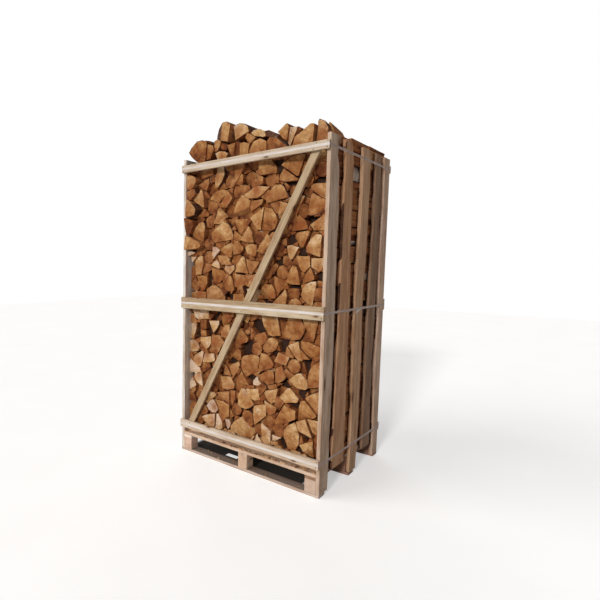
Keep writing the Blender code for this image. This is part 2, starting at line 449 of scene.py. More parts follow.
def ripples(rng, count, pace):
    """A smooth uneven run of values from -1 to 1, with a swell about every pace steps."""
    knots = rng.uniform(-1, 1, int(count / pace) + 3)
    places = (np.arange(count) + rng.uniform()) / pace
    before = np.floor(places).astype(int)
    share = places - before
    share = share * share * (3 - 2 * share)
    return knots[before] * (1 - share) + knots[before + 1] * share


def upright(name, rng):
    """One upright: uneven edges, the bark left along some of them, and eased corners."""
    low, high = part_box(name)
    side = 1 if low.x > 0 else -1
    thick = high.x - low.x
    outer = high.x if side > 0 else low.x
    count = int((high.z - low.z) / WANE_STEP)
    heights = np.linspace(low.z, high.z, count)
    edges = sawn_edges(name)
    nothing = np.zeros(count)
    section = []
    for edge, line in enumerate(edges):
        inward = 1 if edge == 0 else -1
        straight = "post" in name and ("front" in name and edge == 0 or "rear" in name and edge == 1)
        rough = STRAIGHT_EDGE if straight else UNEVEN_EDGE
        uneven = 1 + ripples(rng, count, 3.5) * 0.7 + ripples(rng, count, 1.3) * 0.3
        y = line(heights) + inward * rough * uneven
        corner_cuts = []
        for most in WANES[name][2 * edge:2 * edge + 2]:
            width = most * (0.45 + ripples(rng, count, 9) * 0.6 + ripples(rng, count, 3) * 0.3)
            widest = max(most, EASED_CORNER)
            width = np.clip(width, EASED_CORNER, widest)
            value = np.where(width > EASED_CORNER * 1.5, 0.45 + 0.55 * width / widest, 0.0)
            corner_cuts.append((width, np.minimum(width, thick * 0.48), value))
        (wide, deep, value), (inner_wide, inner_deep, inner_value) = corner_cuts
        across = [
            (y + inward * inner_wide, thick + nothing, inner_value), (y, thick - inner_deep, inner_value),
            (y, deep, value), (y + inward * wide, nothing, value),
            (y + inward * (wide + WANE_FADE), nothing, nothing),
        ]
        section += across if edge == 0 else across[::-1]
    corners = len(section)
    points = [(outer - side * float(depth[row]), float(y[row]), float(heights[row]))
              for row in range(count) for y, depth, _ in section]
    wane = [float(value[row]) for row in range(count) for _, _, value in section]
    faces = [(row * corners + corner, row * corners + (corner + 1) % corners,
              (row + 1) * corners + (corner + 1) % corners, (row + 1) * corners + corner)
             for row in range(count - 1) for corner in range(corners)]
    faces.append(tuple(range(corners)))
    faces.append(tuple((count - 1) * corners + corner for corner in range(corners)))
    layers = {"board_wane": [(value, 0, 0) for value in wane]}
    return new_piece(f"board_{name}", points, faces, [board_finish(name, rng)], layers)


def new_piece(name, points, faces, finishes, layers=None):
    """A closed mesh with its faces turned outwards. layers are values that its points carry."""
    mesh = bpy.data.meshes.new(name)
    mesh.from_pydata(points, [], faces)
    for label, values in (layers or {}).items():
        carry(mesh, label, values)
    shape = bmesh.new()
    shape.from_mesh(mesh)
    bmesh.ops.recalc_face_normals(shape, faces=shape.faces)
    shape.to_mesh(mesh)
    shape.free()
    mesh.shade_smooth()
    mesh.set_sharp_from_angle(angle=math.radians(BOARD_TURN))
    for finish in finishes:
        mesh.materials.append(finish)
    return placed(name, mesh)


def uprights():
    rng = np.random.default_rng(SEEDS["uprights"])
    for name in WANES:
        piece = upright(name, rng)
        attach(piece, "root")
        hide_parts(name)


# Nails and chips

NAIL_RADIUS = 0.004
NAIL_HEIGHT = 0.0012
# How far nails stray from their places, how deep a head sits, and how much of one is sunk under a skid
NAIL_DRIFT = 0.003
NAIL_SUNK = 0.0002
SKID_SUNK_SHARE = 0.6
# Nails in a rail: how far in from its end, how far the two of a pair are shifted, and how far up and down, in
# quarters of its width
RAIL_INSET = 0.012
RAIL_SHIFT = 0.003
RAIL_RISE = 1.35
# Where a brace crosses a rail: how far in from the brace's box, to each side, and up and down
BRACE_INSET = 0.03
BRACE_GAP = 0.008
BRACE_RISE = 1.3
# Nails in posts and slats: to each side of the middle, and how high on the block, as shares of its height
POST_GAP = 0.02
POST_NAIL_HEIGHTS = (0.3, 0.75)
SLAT_GAP = 0.018
# Nails under each block of a skid, as shares of the block's width and depth
SKID_NAILS = ((0.3, 0.3), (0.7, 0.5), (0.35, 0.75))

# How many chips lie on the front deck board, on the rear one and on the front skid
DECK_CHIPS = 120
REAR_CHIPS = 40
SKID_CHIPS = 14
CHIP_SIZE = 0.009
# How far the chips reach to the sides, the strip of a deck board that shows, and the skid's open part
CHIP_REACH = 0.56
DECK_STRIP = (0.483, 0.497)
SKID_OPENING = (0.05, 0.48)
SKID_STRIP = (-0.49, -0.43)


def scattered(name, spots, shape, finish, size, size_spread):
    """One small shape on every spot, by Geometry Nodes. spots are (place, facing), and size is its scale."""
    mesh = bpy.data.meshes.new(f"{name} spots")
    mesh.from_pydata([place for place, _ in spots], [], [])
    carry(mesh, "facing", [facing for _, facing in spots])
    holder = placed(f"{name} spots", mesh)

    tree = bpy.data.node_groups.new(name, "GeometryNodeTree")
    tree.interface.new_socket("Spots", in_out="INPUT", socket_type="NodeSocketGeometry")
    inputs = {}
    for label, value in (("Size", size), ("Size spread", size_spread)):
        socket = tree.interface.new_socket(label, in_out="INPUT", socket_type="NodeSocketFloat")
        inputs[socket.identifier] = value
    tree.interface.new_socket("Mesh", in_out="OUTPUT", socket_type="NodeSocketGeometry")
    given = tree.nodes.new("NodeGroupInput")
    result = tree.nodes.new("NodeGroupOutput")

    def node(kind, feeds=None, **settings):
        new = tree.nodes.new(kind)
        for setting, value in settings.items():
            setattr(new, setting, value)
        for socket, value in (feeds or {}).items():
            if isinstance(value, bpy.types.NodeSocket):
                tree.links.new(value, new.inputs[socket])
            else:
                new.inputs[socket].default_value = value
        return new

    unit = shape(node)
    facing = node("GeometryNodeInputNamedAttribute", {"Name": "facing"}, data_type="FLOAT_VECTOR")
    aligned = node("FunctionNodeAlignRotationToVector", {"Vector": facing.outputs[0]}, axis="Z")
    turn = node("FunctionNodeRandomValue", {2: 0.0, 3: FULL_TURN, "Seed": 5}, data_type="FLOAT")
    about = node("ShaderNodeCombineXYZ", {"Z": turn.outputs[1]})
    twist = node("FunctionNodeEulerToRotation", {0: about.outputs[0]})
    turns = {0: aligned.outputs[0], 1: twist.outputs[0]}
    rotation = node("FunctionNodeRotateRotation", turns, rotation_space="LOCAL")
    least = node("ShaderNodeMath", {0: 1.0, 1: given.outputs["Size spread"]}, operation="SUBTRACT")
    most = node("ShaderNodeMath", {0: 1.0, 1: given.outputs["Size spread"]}, operation="ADD")
    sizes = {2: least.outputs[0], 3: most.outputs[0], "Seed": 8}
    vary = node("FunctionNodeRandomValue", sizes, data_type="FLOAT")
    scale = node("ShaderNodeMath", {0: vary.outputs[1], 1: given.outputs["Size"]}, operation="MULTIPLY")
    copies = node("GeometryNodeInstanceOnPoints", {
        "Points": given.outputs["Spots"], "Instance": unit, "Rotation": rotation.outputs[0],
        "Scale": scale.outputs[0],
    })
    real = node("GeometryNodeRealizeInstances", {0: copies.outputs[0]})
    painted = node("GeometryNodeSetMaterial", {"Geometry": real.outputs[0], "Material": finish})
    tree.links.new(painted.outputs[0], result.inputs[0])

    grow = holder.modifiers.new(name, "NODES")
    grow.node_group = tree
    for socket, value in inputs.items():
        grow[socket] = value
    whole = bpy.data.meshes.new_from_object(holder.evaluated_get(bpy.context.evaluated_depsgraph_get()))
    holder.modifiers.remove(grow)
    bpy.data.objects.remove(holder)
    whole.name = name
    piece = placed(name, whole)
    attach(piece, "root")
    return piece


def nail_head(node):
    """A flat round head with a slightly domed top, one wide."""
    return node("GeometryNodeMeshCone", {
        "Vertices": 10, "Side Segments": 1, "Radius Top": 0.72, "Radius Bottom": 1.0, "Depth": 0.3,
    }).outputs["Mesh"]


def splinter(node):
    """A flat, slanting chip, about two long."""
    cone = node("GeometryNodeMeshCone", {
        "Vertices": 5, "Side Segments": 1, "Radius Top": 0.45, "Radius Bottom": 0.7, "Depth": 2.0,
    })
    return node("GeometryNodeTransform", {
        "Geometry": cone.outputs["Mesh"], "Rotation": (0.0, math.radians(84), 0.0), "Scale": (1.0, 0.55, 0.35),
    }).outputs[0]


def nail_steel():
    """Blank steel that has started to rust."""
    finish = Finish("nail steel", 0.5, 0.5)
    finish.shader.inputs["Metallic"].default_value = 0.7
    rust = finish.noise(finish.place, 420.0, 3.0)
    colour = finish.ramp(rust, (0.35, seen(112, 106, 102)), (0.65, seen(84, 58, 44)))
    return finish.done(colour, rust, 0.0003)


def nails():
    """Where boards are nailed to each other."""
    rng = np.random.default_rng(SEEDS["nails"])
    spots = []

    def add(x, y, z, facing):
        drift = rng.uniform(-NAIL_DRIFT, NAIL_DRIFT, 3) * (1 - np.abs(facing))
        place = np.array((x, y, z)) + drift - np.array(facing) * NAIL_SUNK
        spots.append((tuple(place), facing))

    for row, way in (("front", -1), ("rear", 1)):
        brace_low, brace_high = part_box(f"brace_{row}")
        for level in ("bottom", "middle", "top"):
            low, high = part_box(f"rail_{row}_{level}")
            face = low.y if way < 0 else high.y
            middle = (low.z + high.z) / 2
            quarter = (high.z - low.z) / 4
            for side in (-1, 1):
                for step in (-1, 1):
                    x = side * (high.x - RAIL_INSET + step * RAIL_SHIFT)
                    add(x, face, middle + step * quarter * RAIL_RISE, (0, way, 0))
            share = (middle - brace_low.z) / (brace_high.z - brace_low.z)
            cross = brace_low.x + (brace_high.x - brace_low.x) * share
            cross = -way * min(max(cross, brace_low.x + BRACE_INSET), brace_high.x - BRACE_INSET)
            for step in (-1, 1):
                add(cross + step * BRACE_GAP, face, middle + step * quarter * BRACE_RISE, (0, way, 0))
    for side, label in ((-1, "left"), (1, "right")):
        for place in ROWS:
            low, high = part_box(f"post_{label}_{place}")
            block_low, block_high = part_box(f"block_{place}_{label}")
            middle = (block_low.y + block_high.y) / 2
            for up in POST_NAIL_HEIGHTS:
                height = block_low.z + (block_high.z - block_low.z) * up
                for step in (-1, 1):
                    add(high.x if side > 0 else low.x, middle + step * POST_GAP, height, (side, 0, 0))
        for place, board in (("front", 3), ("rear", 5)):
            low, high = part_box(f"slat_{label}_{place}")
            deck_low, deck_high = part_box(f"deck_board_{board}")
            height = (deck_low.z + deck_high.z) / 2
            middle = (deck_low.y + deck_high.y) / 2
            for step in (-1, 1):
                add(high.x if side > 0 else low.x, middle + step * SLAT_GAP, height, (side, 0, 0))
    for row in ROWS:
        skid_low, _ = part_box(f"skid_{row}")
        for column in ("left", "center", "right"):
            low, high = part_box(f"block_{row}_{column}")
            for across, deep in SKID_NAILS:
                x = low.x + (high.x - low.x) * across
                y = low.y + (high.y - low.y) * deep
                spots.append(((x, y, skid_low.z + NAIL_HEIGHT * SKID_SUNK_SHARE), (0, 0, -1)))
    piece = scattered("nail_heads", spots, nail_head, nail_steel(), NAIL_RADIUS, 0.06)


def chip_wood():
    """Fresh chips and crumbs of bark."""
    finish = Finish("chip wood", 0.8, 0.2)
    tone = finish.grain(finish.place, (36, 36, 4), detail=1.0)
    fibre = finish.grain(finish.place, (60, 400, 400), detail=3.0)
    stops = ((0.30, seen(74, 46, 30)), (0.46, seen(150, 100, 60)), (0.58, seen(206, 168, 120)))
    colour = finish.ramp(tone, *stops, (0.75, seen(222, 188, 160)))
    return finish.done(colour, fibre, 0.001)


def chips():
    """Chips and bark crumbs lying on the deck's edges and on the skids."""
    rng = np.random.default_rng(SEEDS["chips"])
    _, deck_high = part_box("deck_board_1")
    _, rear_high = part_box("deck_board_7")
    _, skid_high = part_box("skid_front")
    near, far = DECK_STRIP
    spots = []
    for _ in range(DECK_CHIPS):
        x = float(np.clip(rng.normal(0.16, 0.30), -CHIP_REACH, CHIP_REACH))
        spots.append(((x, rng.uniform(-far, -near), deck_high.z + rng.uniform(0.001, 0.006)), (0.2, 0.1, 1)))
    for _ in range(REAR_CHIPS):
        x = rng.uniform(-CHIP_REACH, CHIP_REACH)
        spots.append(((x, rng.uniform(near, far), rear_high.z + 0.002), (0.1, 0.2, 1)))
    for _ in range(SKID_CHIPS):
        x = rng.uniform(*SKID_OPENING) * rng.choice((-1, 1))
        spots.append(((x, rng.uniform(*SKID_STRIP), skid_high.z + 0.001), (0.1, 0.1, 1)))
    piece = scattered("wood_chips", spots, splinter, chip_wood(), CHIP_SIZE, 0.55)


# Bands

# Where each band is welded: the side, where the weld starts along Y, and the loose tail's length
BAND_JOINTS = {"top": (-1, -0.112, 0.085), "bottom": (1, 0.338, 0.056)}
BAND_THICK = 0.0008
TAIL_THICK = 0.0006
TAIL_GAP = 0.0005
# A welded tail: the share of its length that is straight, then how far it sinks and curls inwards, each with
# the power that it grows by, and how far it leans
TAIL_STRAIGHT = 0.45
TAIL_SINK = (0.055, 1.7)
TAIL_CURL = (0.040, 1.6)
TAIL_LEAN = 0.9
# How fine the embossed net is, in radians per metre
BAND_NET = 2600.0
# The middle band's tail: from under the band down across the middle post, to a curl in front of the post's
# edge
TAIL_STEPS = 14
LOOSE_TAIL = [
    (0.6005, 0.058, 1.2005), (0.6005, 0.034, 1.194), (0.6005, 0.006, 1.186), (0.6005, -0.014, 1.180),
    (0.600, -0.025, 1.178), (0.596, -0.034, 1.175), (0.588, -0.040, 1.170), (0.578, -0.041, 1.163),
    (0.570, -0.037, 1.155), (0.566, -0.031, 1.147),
]


def band_film(name, painted_side_shade):
    """Translucent white strapping with a fine embossed net. The colour given darkens what faces left or right,
    as painted shade.
    """
    finish = Finish(name, 0.35, 0.45)
    axes = finish.parts(finish.place)
    length = finish.sum("ADD", axes[0], axes[1])
    rising = finish.sum("SINE", finish.times(finish.sum("ADD", length, axes[2]), BAND_NET))
    falling = finish.sum("SINE", finish.times(finish.sum("SUBTRACT", length, axes[2]), BAND_NET))
    haze = finish.grain(finish.place, (7, 7, 50), detail=3.0)
    colour = finish.ramp(haze, (0.3, seen(240, 222, 212)), (0.6, seen(255, 250, 246)))
    facing = finish.parts(finish.tree.nodes["Texture Coordinate"].outputs["Normal"])[0]
    # Painted shade: the film is darker where it faces left or right
    on_side = finish.span(finish.sum("ABSOLUTE", facing), 0.4, 0.6)
    colour = finish.mixed(on_side, colour, finish.mixed(1.0, colour, painted_side_shade, "MULTIPLY"))
    finish.shader.inputs["Alpha"].default_value = 0.60
    rough = finish.span(haze, 0.3, 0.7, 0.28, 0.45)
    return finish.done(colour, finish.times(rising, falling), 0.0002, rough)


def ribbon(name, route, widths, thick, finish):
    """A thin strip along a route of points. widths are its half width across, at each point."""
    points = []
    count = len(route)
    for index in range(count):
        here = Vector(route[index])
        ahead = Vector(route[min(index + 1, count - 1)]) - Vector(route[max(index - 1, 0)])
        across = Vector(widths[index])
        outward = ahead.cross(across).normalized() * thick / 2
        for sign_across, sign_out in ((-1, -1), (1, -1), (1, 1), (-1, 1)):
            points.append(tuple(here + across * sign_across + outward * sign_out))
    faces = [(row * 4 + corner, row * 4 + (corner + 1) % 4, row * 4 + 4 + (corner + 1) % 4, row * 4 + 4 + corner)
             for row in range(count - 1) for corner in range(4)]
    faces += [(0, 1, 2, 3), tuple((count - 1) * 4 + corner for corner in range(4))]
    return new_piece(name, points, faces, [finish])


def bands():
    """The film on the three bands, and the loose tail where each is welded."""
    # The bands' film has painted shade on its sides; the loose tails' film has none
    film = band_film("band film", (0.68, 0.60, 0.56))
    loose_film = band_film("loose band film", (1.0, 1.0, 1.0))
    for place in ("top", "middle", "bottom"):
        obj = bpy.data.objects[f"band_{place}"]
        obj.data.materials.clear()
        obj.data.materials.append(film)
    low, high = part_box("band_middle")
    half = (high.z - low.z) / 2
    band_tail("middle", LOOSE_TAIL, [(0.0, 0.0, half)] * len(LOOSE_TAIL), loose_film)
    for place, (side, start, length) in BAND_JOINTS.items():
        low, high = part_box(f"band_{place}")
        height = (low.z + high.z) / 2
        half = (high.z - low.z) / 2
        inner = high.x - BAND_THICK - TAIL_GAP
        route = []
        widths = []
        for step in range(TAIL_STEPS + 1):
            share = step / TAIL_STEPS
            bend = max(share - TAIL_STRAIGHT, 0.0)
            sink, curl = (most * bend ** power for most, power in (TAIL_SINK, TAIL_CURL))
            route.append((side * (inner - curl), start + length * share, height - sink))
            lean = TAIL_LEAN * bend
            widths.append((-side * half * math.sin(lean) * 0.6, 0.0, half * math.cos(lean)))
        band_tail(place, route, widths, loose_film)


def band_tail(place, route, widths, film):
    tail = ribbon(f"band_tail_{place}", route, widths, TAIL_THICK, film)
    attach(tail, "root")


# Log outlines

# How often each kind of split log comes up
LOG_KINDS = {"wedge": 0.56, "half": 0.12, "stub": 0.08, "inner": 0.15, "block": 0.05, "stick": 0.04}
# The trunks' radii, how far a block's four sides are from its middle, and the angle of a wedge in degrees,
# for a trunk of the radius given
STICK_RADII = (0.030, 0.046)
HALF_RADII = (0.060, 0.088)
BLOCK_RADII = (0.10, 0.14)
BLOCK_SIDES = (0.047, 0.048, 0.038, 0.037)
WEDGE_RADII = (0.095, 0.160)
WEDGE_ANGLES = (48, 92)
WEDGE_TRUNK = 0.125


def uneven_round(radius, rng, steps=26):
    """A trunk's outline: a slightly uneven circle, anticlockwise, with bark all round."""
    angles = np.arange(steps) * FULL_TURN / steps
    reach = np.full(steps, radius)
    for waves, most in ((2, 0.06), (3, 0.03), (4, 0.015)):
        reach += radius * rng.uniform(0, most) * np.cos(waves * angles + rng.uniform(0, FULL_TURN))
    points = np.column_stack((reach * np.cos(angles), reach * np.sin(angles)))
    return points, np.ones(steps, bool)


def split_off(points, bark, direction, reach):
    """Split off what lies further than reach along a direction. The new side has no bark."""
    beyond = points @ pointing(direction) - reach
    kept = []
    kept_bark = []
    for index, here in enumerate(beyond):
        following = (index + 1) % len(points)
        there = beyond[following]
        if here <= 0:
            kept.append(points[index])
            kept_bark.append(bark[index])
        if (here <= 0) != (there <= 0):
            share = here / (here - there)
            kept.append(points[index] + (points[following] - points[index]) * share)
            kept_bark.append(bark[index] and here > 0)
    return np.array(kept), np.array(kept_bark)


def area(points):
    x, y = points.T
    return 0.5 * float(np.sum(x * np.roll(y, -1) - np.roll(x, -1) * y))


def split_shape(rng):
    """The end outline of one split log, about its trunk's heart, and which of its sides are bark."""
    kind = rng.choice(tuple(LOG_KINDS), p=tuple(LOG_KINDS.values()))
    if kind == "stick":
        return uneven_round(rng.uniform(*STICK_RADII), rng, 16)
    if kind == "half":
        radius = rng.uniform(*HALF_RADII)
        points, bark = uneven_round(radius, rng)
        points, bark = split_off(points, bark, -math.pi / 2, rng.uniform(0, 0.2) * radius)
        if rng.uniform() < 0.5:
            points, bark = split_off(points, bark, rng.uniform(0, math.pi), rng.uniform(0.5, 0.8) * radius)
        return points, bark
    if kind == "block":
        points, bark = uneven_round(rng.uniform(*BLOCK_RADII), rng)
        for quarter, reach in enumerate(BLOCK_SIDES):
            side = quarter * math.pi / 2 + rng.uniform(-0.2, 0.2)
            points, bark = split_off(points, bark, side, reach * rng.uniform(0.85, 1.15))
        return points, bark
    radius = rng.uniform(*WEDGE_RADII)
    spread = math.radians(rng.uniform(*WEDGE_ANGLES)) * math.sqrt(WEDGE_TRUNK / radius)
    points, bark = uneven_round(radius, rng, 30)
    for side in (-math.pi / 2, spread + math.pi / 2):
        points, bark = split_off(points, bark, side, rng.uniform(-0.05, 0.07) * radius)
    middle = spread / 2
    if kind == "stub":
        side = middle + math.pi + rng.uniform(-0.4, 0.4)
        points, bark = split_off(points, bark, side, -rng.uniform(0.2, 0.4) * radius)
    if kind == "inner":
        side = middle + rng.uniform(-0.45, 0.45)
        points, bark = split_off(points, bark, side, rng.uniform(0.66, 0.90) * radius)
    return points, bark


# Stacking

# The width of a cell, and the slack between logs
CELL = 0.004
LOG_SLACK = 0.0007
LOG_AREAS = (0.0034, 0.0125)
LEAST_AREA = 0.0007
# The stock to choose from: how many shapes, how many turns of each, and how many are tried at a time
STOCK_SHAPES = 150
STOCK_TURNS = 16
TRIES = 420
# How far a log may stick out over the crest, the least room that takes another one, how far a log may hang
# over the lowest place, and how much of a narrow gap is left empty at a time
OVER_CREST = 0.012
LEAST_ROOM = 0.035
MOST_HANG = 0.05
EMPTY_STEP = 0.02
# What counts in a choice: each earlier use of a shape, its area, chance, and how far it hangs
USE_COST = 0.006
AREA_WORTH = 2.2
CHANCE = 0.003
HANG_COST = 0.3
# Heights that stand for nothing there, in a log's cells and past the row's walls
NOTHING = 1e3
WALL = 9e2

# Thin splits in the gaps between logs: the grid's cell, the reach of a log's effect on it, the least free
# radius and area, and how far a split may reach
GAP_CELL = 0.006
GAP_REACH = 0.07
LEAST_FILLER = 0.0065
LEAST_FILLER_AREA = 0.00012
FILLER_STRETCH = 3.2
MOST_FILLER = 0.05
FILLER_CORNERS = 9
FILLER_BARK_SHARE = 0.4
# How far below the crest they stay, and how near a log matters to them
FILLER_DEPTH = 0.008
FILLER_NEAR = 0.12
# Gaps that are left open: up to this radius, in this share of cases, and how far round
VOID_RADIUS = 0.024
VOID_SHARE = 0.16
VOID_SPREAD = 1.3

# How logs grow: by which shares, the shifts tried with each as a part of it, and how near a neighbour is
GROWTHS = (0.22, 0.14, 0.09, 0.05, 0.02, 0.01)
GROWTH_SHIFT = 0.05
NEIGHBOUR = 0.02


def shadows(points):
    """The lowest and highest point of an outline over each cell of its width, from its left end."""
    x = points[:, 0] - points[:, 0].min()
    count = len(x)
    left, right = int(np.argmin(x)), int(np.argmax(x))
    under = [(left + step) % count for step in range((right - left) % count + 1)]
    over = [(right + step) % count for step in range((left - right) % count + 1)][::-1]
    edges = np.arange(int(math.ceil(x.max() / CELL)) + 1) * CELL
    low = np.interp(edges, x[under], points[under, 1])
    high = np.interp(edges, x[over], points[over, 1])
    return np.minimum(low[:-1], low[1:]), np.maximum(high[:-1], high[1:])


def log_stock(rng):
    """Logs to choose from, each turned many ways: outline, heart, bark, lowest and highest points."""
    stock = []
    while len(stock) < STOCK_SHAPES * STOCK_TURNS:
        points, bark = split_shape(rng)
        if not LOG_AREAS[0] < area(points) < LOG_AREAS[1]:
            continue
        for turn in range(STOCK_TURNS):
            angle = FULL_TURN * (turn + rng.uniform()) / STOCK_TURNS
            cos, sin = math.cos(angle), math.sin(angle)
            shape = points @ ((cos, sin), (-sin, cos))
            corner = np.array((shape[:, 0].min(), 0.0))
            low, high = shadows(shape)
            stock.append((shape - corner, -corner, bark, low, high))
    return stock


def stack(rng, width, crest):
    """Drop logs from above, the best fitting one each time, until they reach the crest."""
    stock = log_stock(rng)
    reach = max(len(entry[3]) for entry in stock)
    lows = np.full((len(stock), reach), NOTHING, np.float32)
    highs = np.full((len(stock), reach), -NOTHING, np.float32)
    for row, entry in enumerate(stock):
        lows[row, :len(entry[3])] = entry[3]
        highs[row, :len(entry[4])] = entry[4]
    solid = (lows < NOTHING).astype(np.float32)
    widths = solid.sum(1)
    depth = (lows * solid).sum(1)
    areas = np.array([area(entry[0]) for entry in stock], np.float32)
    cells = int(width / CELL)
    level = np.full(cells + 2 * reach, WALL, np.float32)
    level[reach:reach + cells] = 0.0
    ceiling = np.full(cells + 2 * reach, -WALL, np.float32)
    ceiling[reach:reach + cells] = crest((np.arange(cells) + 0.5) * CELL)
    uses = np.zeros(len(stock), np.float32)
    placed = []
    while (level + LEAST_ROOM < ceiling).any():
        spot = int(np.argmin(np.where(level + LEAST_ROOM < ceiling, level, NOTHING)))
        picks = rng.choice(len(stock), TRIES, replace=False)
        low, high, full, wide = lows[picks], highs[picks], solid[picks], widths[picks]
        cost = USE_COST * uses[picks] - AREA_WORTH * areas[picks] + rng.uniform(0, CHANCE, TRIES)
        best = None
        for start in range(spot - reach + 1, spot + 1):
            under = level[start:start + reach]
            drop = (under - low).max(1)
            top = (high - ceiling[start:start + reach]).max(1) + drop
            usable = (wide > spot - start) & (drop < WALL / 2) & (top < OVER_CREST)
            if not usable.any():
                continue
            lost = drop + (depth[picks] - full @ under) / wide
            hang = drop + low[:, spot - start] - level[spot]
            score = np.where(usable, lost + HANG_COST * hang + cost, NOTHING)
            pick = int(np.argmin(score))
            if best is None or score[pick] < best[0]:
                best = (score[pick], picks[pick], start, drop[pick], hang[pick])
        if best is None or best[4] > MOST_HANG:
            raise_floor(level, spot)
            continue
        _, choice, start, drop, _ = best
        shape, heart, bark, _, top = stock[choice]
        place = np.array(((start - reach) * CELL, drop))
        placed.append({"outline": shape + place, "heart": heart + place, "bark": bark})
        level[start:start + len(top)] = drop + top + LOG_SLACK
        first = choice // STOCK_TURNS * STOCK_TURNS
        uses[first:first + STOCK_TURNS] += 1
    return placed


def raise_floor(level, spot):
    """Leave a narrow gap empty: lift the floor of the stack there."""
    first = last = spot
    rise = level[spot] + EMPTY_STEP
    while level[first - 1] < rise:
        first -= 1
    while level[last + 1] < rise:
        last += 1
    level[first:last + 1] = rise


def uncovered(outlines, width, height):
    """How far points on a grid over the row's end are from the nearest log or wall, and the points."""
    across = np.arange(GAP_CELL, width, GAP_CELL)
    up = np.arange(GAP_CELL, height, GAP_CELL)
    across, up = np.meshgrid(across, up, indexing="ij")
    room = np.minimum(np.minimum(across, width - across), up)
    for outline in outlines:
        shrink_room(room, across, up, outline)
    return room, across, up


def shrink_room(room, across, up, outline):
    """Take one log's outline off the free room round the grid's points."""
    low = np.maximum(((outline.min(0) - GAP_REACH) / GAP_CELL).astype(int) - 1, 0)
    high = np.maximum(((outline.max(0) + GAP_REACH) / GAP_CELL).astype(int) + 1, 0)
    part = (slice(low[0], high[0]), slice(low[1], high[1]))
    sides = np.roll(outline, -1, axis=0) - outline
    lengths = np.hypot(sides[:, 0], sides[:, 1])
    kept = lengths > TINY
    normals = np.column_stack((sides[kept, 1], -sides[kept, 0])) / lengths[kept, None]
    starts = (outline[kept] * normals).sum(1)
    away = across[part][..., None] * normals[:, 0] + up[part][..., None] * normals[:, 1] - starts
    room[part] = np.minimum(room[part], away.max(-1))


def nearest_point(outline, place):
    """The point of an outline nearest to a place outside it."""
    sides = np.roll(outline, -1, axis=0) - outline
    squares = np.maximum((sides * sides).sum(1), TINY * TINY)
    shares = np.clip(((place - outline) * sides).sum(1) / squares, 0, 1)
    points = outline + sides * shares[:, None]
    return points[int(np.argmin(((points - place) ** 2).sum(1)))]


def free_cell(centre, radius, outlines, width, limit):
    """The room round a place that no log's side reaches into, as an outline without dents, or nothing."""
    angles = np.arange(FILLER_CORNERS) * FULL_TURN / FILLER_CORNERS
    points = radius * np.column_stack((np.cos(angles), np.sin(angles)))
    bark = np.zeros(len(points), bool)
    hurdles = [nearest_point(outline, centre) for outline in outlines]
    hurdles += [(0.0, centre[1]), (width, centre[1]), (centre[0], 0.0), (centre[0], limit)]
    for hurdle in hurdles:
        way = np.array(hurdle) - centre
        reach = float(np.hypot(*way))
        if LOG_SLACK < reach < radius * 1.2:
            points, bark = split_off(points, bark, math.atan2(way[1], way[0]), reach - LOG_SLACK)
        if len(points) < 3:
            return None
    return points + centre


def fill_gaps(logs, fixed, rng, width, ceiling):
    """Push thin splits into the gaps between the logs, and leave a few of the gaps open."""
    height = float(ceiling(np.linspace(0, width, 40)).max())
    outlines = [log["outline"] for log in logs] + list(fixed)
    room, across, up = uncovered(outlines, width, height)
    room = np.where(up < ceiling(across) - FILLER_DEPTH, room, 0.0)
    while room.max() > LEAST_FILLER:
        spot = np.unravel_index(int(np.argmax(room)), room.shape)
        centre = np.array((across[spot], up[spot]))
        radius = float(room[spot])
        if radius < VOID_RADIUS and rng.uniform() < VOID_SHARE:
            room[np.hypot(across - centre[0], up - centre[1]) < radius * VOID_SPREAD] = 0.0
            continue
        low, high = centre - FILLER_NEAR, centre + FILLER_NEAR
        near = [outline for outline in outlines
                if (outline.min(0) < high).all() and (outline.max(0) > low).all()]
        reach = min(radius * FILLER_STRETCH, MOST_FILLER)
        outline = free_cell(centre, reach, near, width, float(ceiling(centre[0])))
        room[spot] = 0.0
        if outline is None or area(outline) < LEAST_FILLER_AREA:
            continue
        bark = np.zeros(len(outline), bool)
        if rng.uniform() < FILLER_BARK_SHARE:
            bark[:2] = True
        logs.append({"outline": outline, "heart": centre - radius * 2, "bark": bark, "deep": True})
        outlines.append(outline)
        shrink_room(room, across, up, outline)


def clearance(first, second):
    """The side of the first outline that the second one is most clear of: how far, and which way it faces."""
    sides = np.roll(first, -1, axis=0) - first
    lengths = np.hypot(sides[:, 0], sides[:, 1])
    kept = lengths > TINY
    sides = sides[kept] / lengths[kept, None]
    normals = np.column_stack((sides[:, 1], -sides[:, 0]))
    clear = (second @ normals.T).min(0) - (first @ normals.T).max(0)
    return float(clear.max()), normals[int(clear.argmax())]


def apart(one, other):
    """True if two outlines without dents keep the slack between logs."""
    return clearance(one, other)[0] >= LOG_SLACK or clearance(other, one)[0] >= LOG_SLACK


def ease_off(log, other, held):
    """Cut overlapping outlines back to a line between them, or only the log's where the other one is held."""
    clear, way = clearance(log["outline"], other["outline"])
    back_clear, back_way = clearance(other["outline"], log["outline"])
    if max(clear, back_clear) >= LOG_SLACK:
        return
    if back_clear > clear:
        way = -back_way
    nearest = float((other["outline"] @ way).min())
    line = nearest - LOG_SLACK if held else (nearest + float((log["outline"] @ way).max())) / 2
    angle = math.atan2(way[1], way[0])
    log["outline"], log["bark"] = split_off(log["outline"], log["bark"], angle, line - LOG_SLACK)
    if not held:
        parts = split_off(other["outline"], other["bark"], angle + math.pi, -line - LOG_SLACK)
        other["outline"], other["bark"] = parts


def lasting(log):
    """True if enough is left of a log's outline."""
    return len(log["outline"]) > 2 and area(log["outline"]) > LEAST_AREA


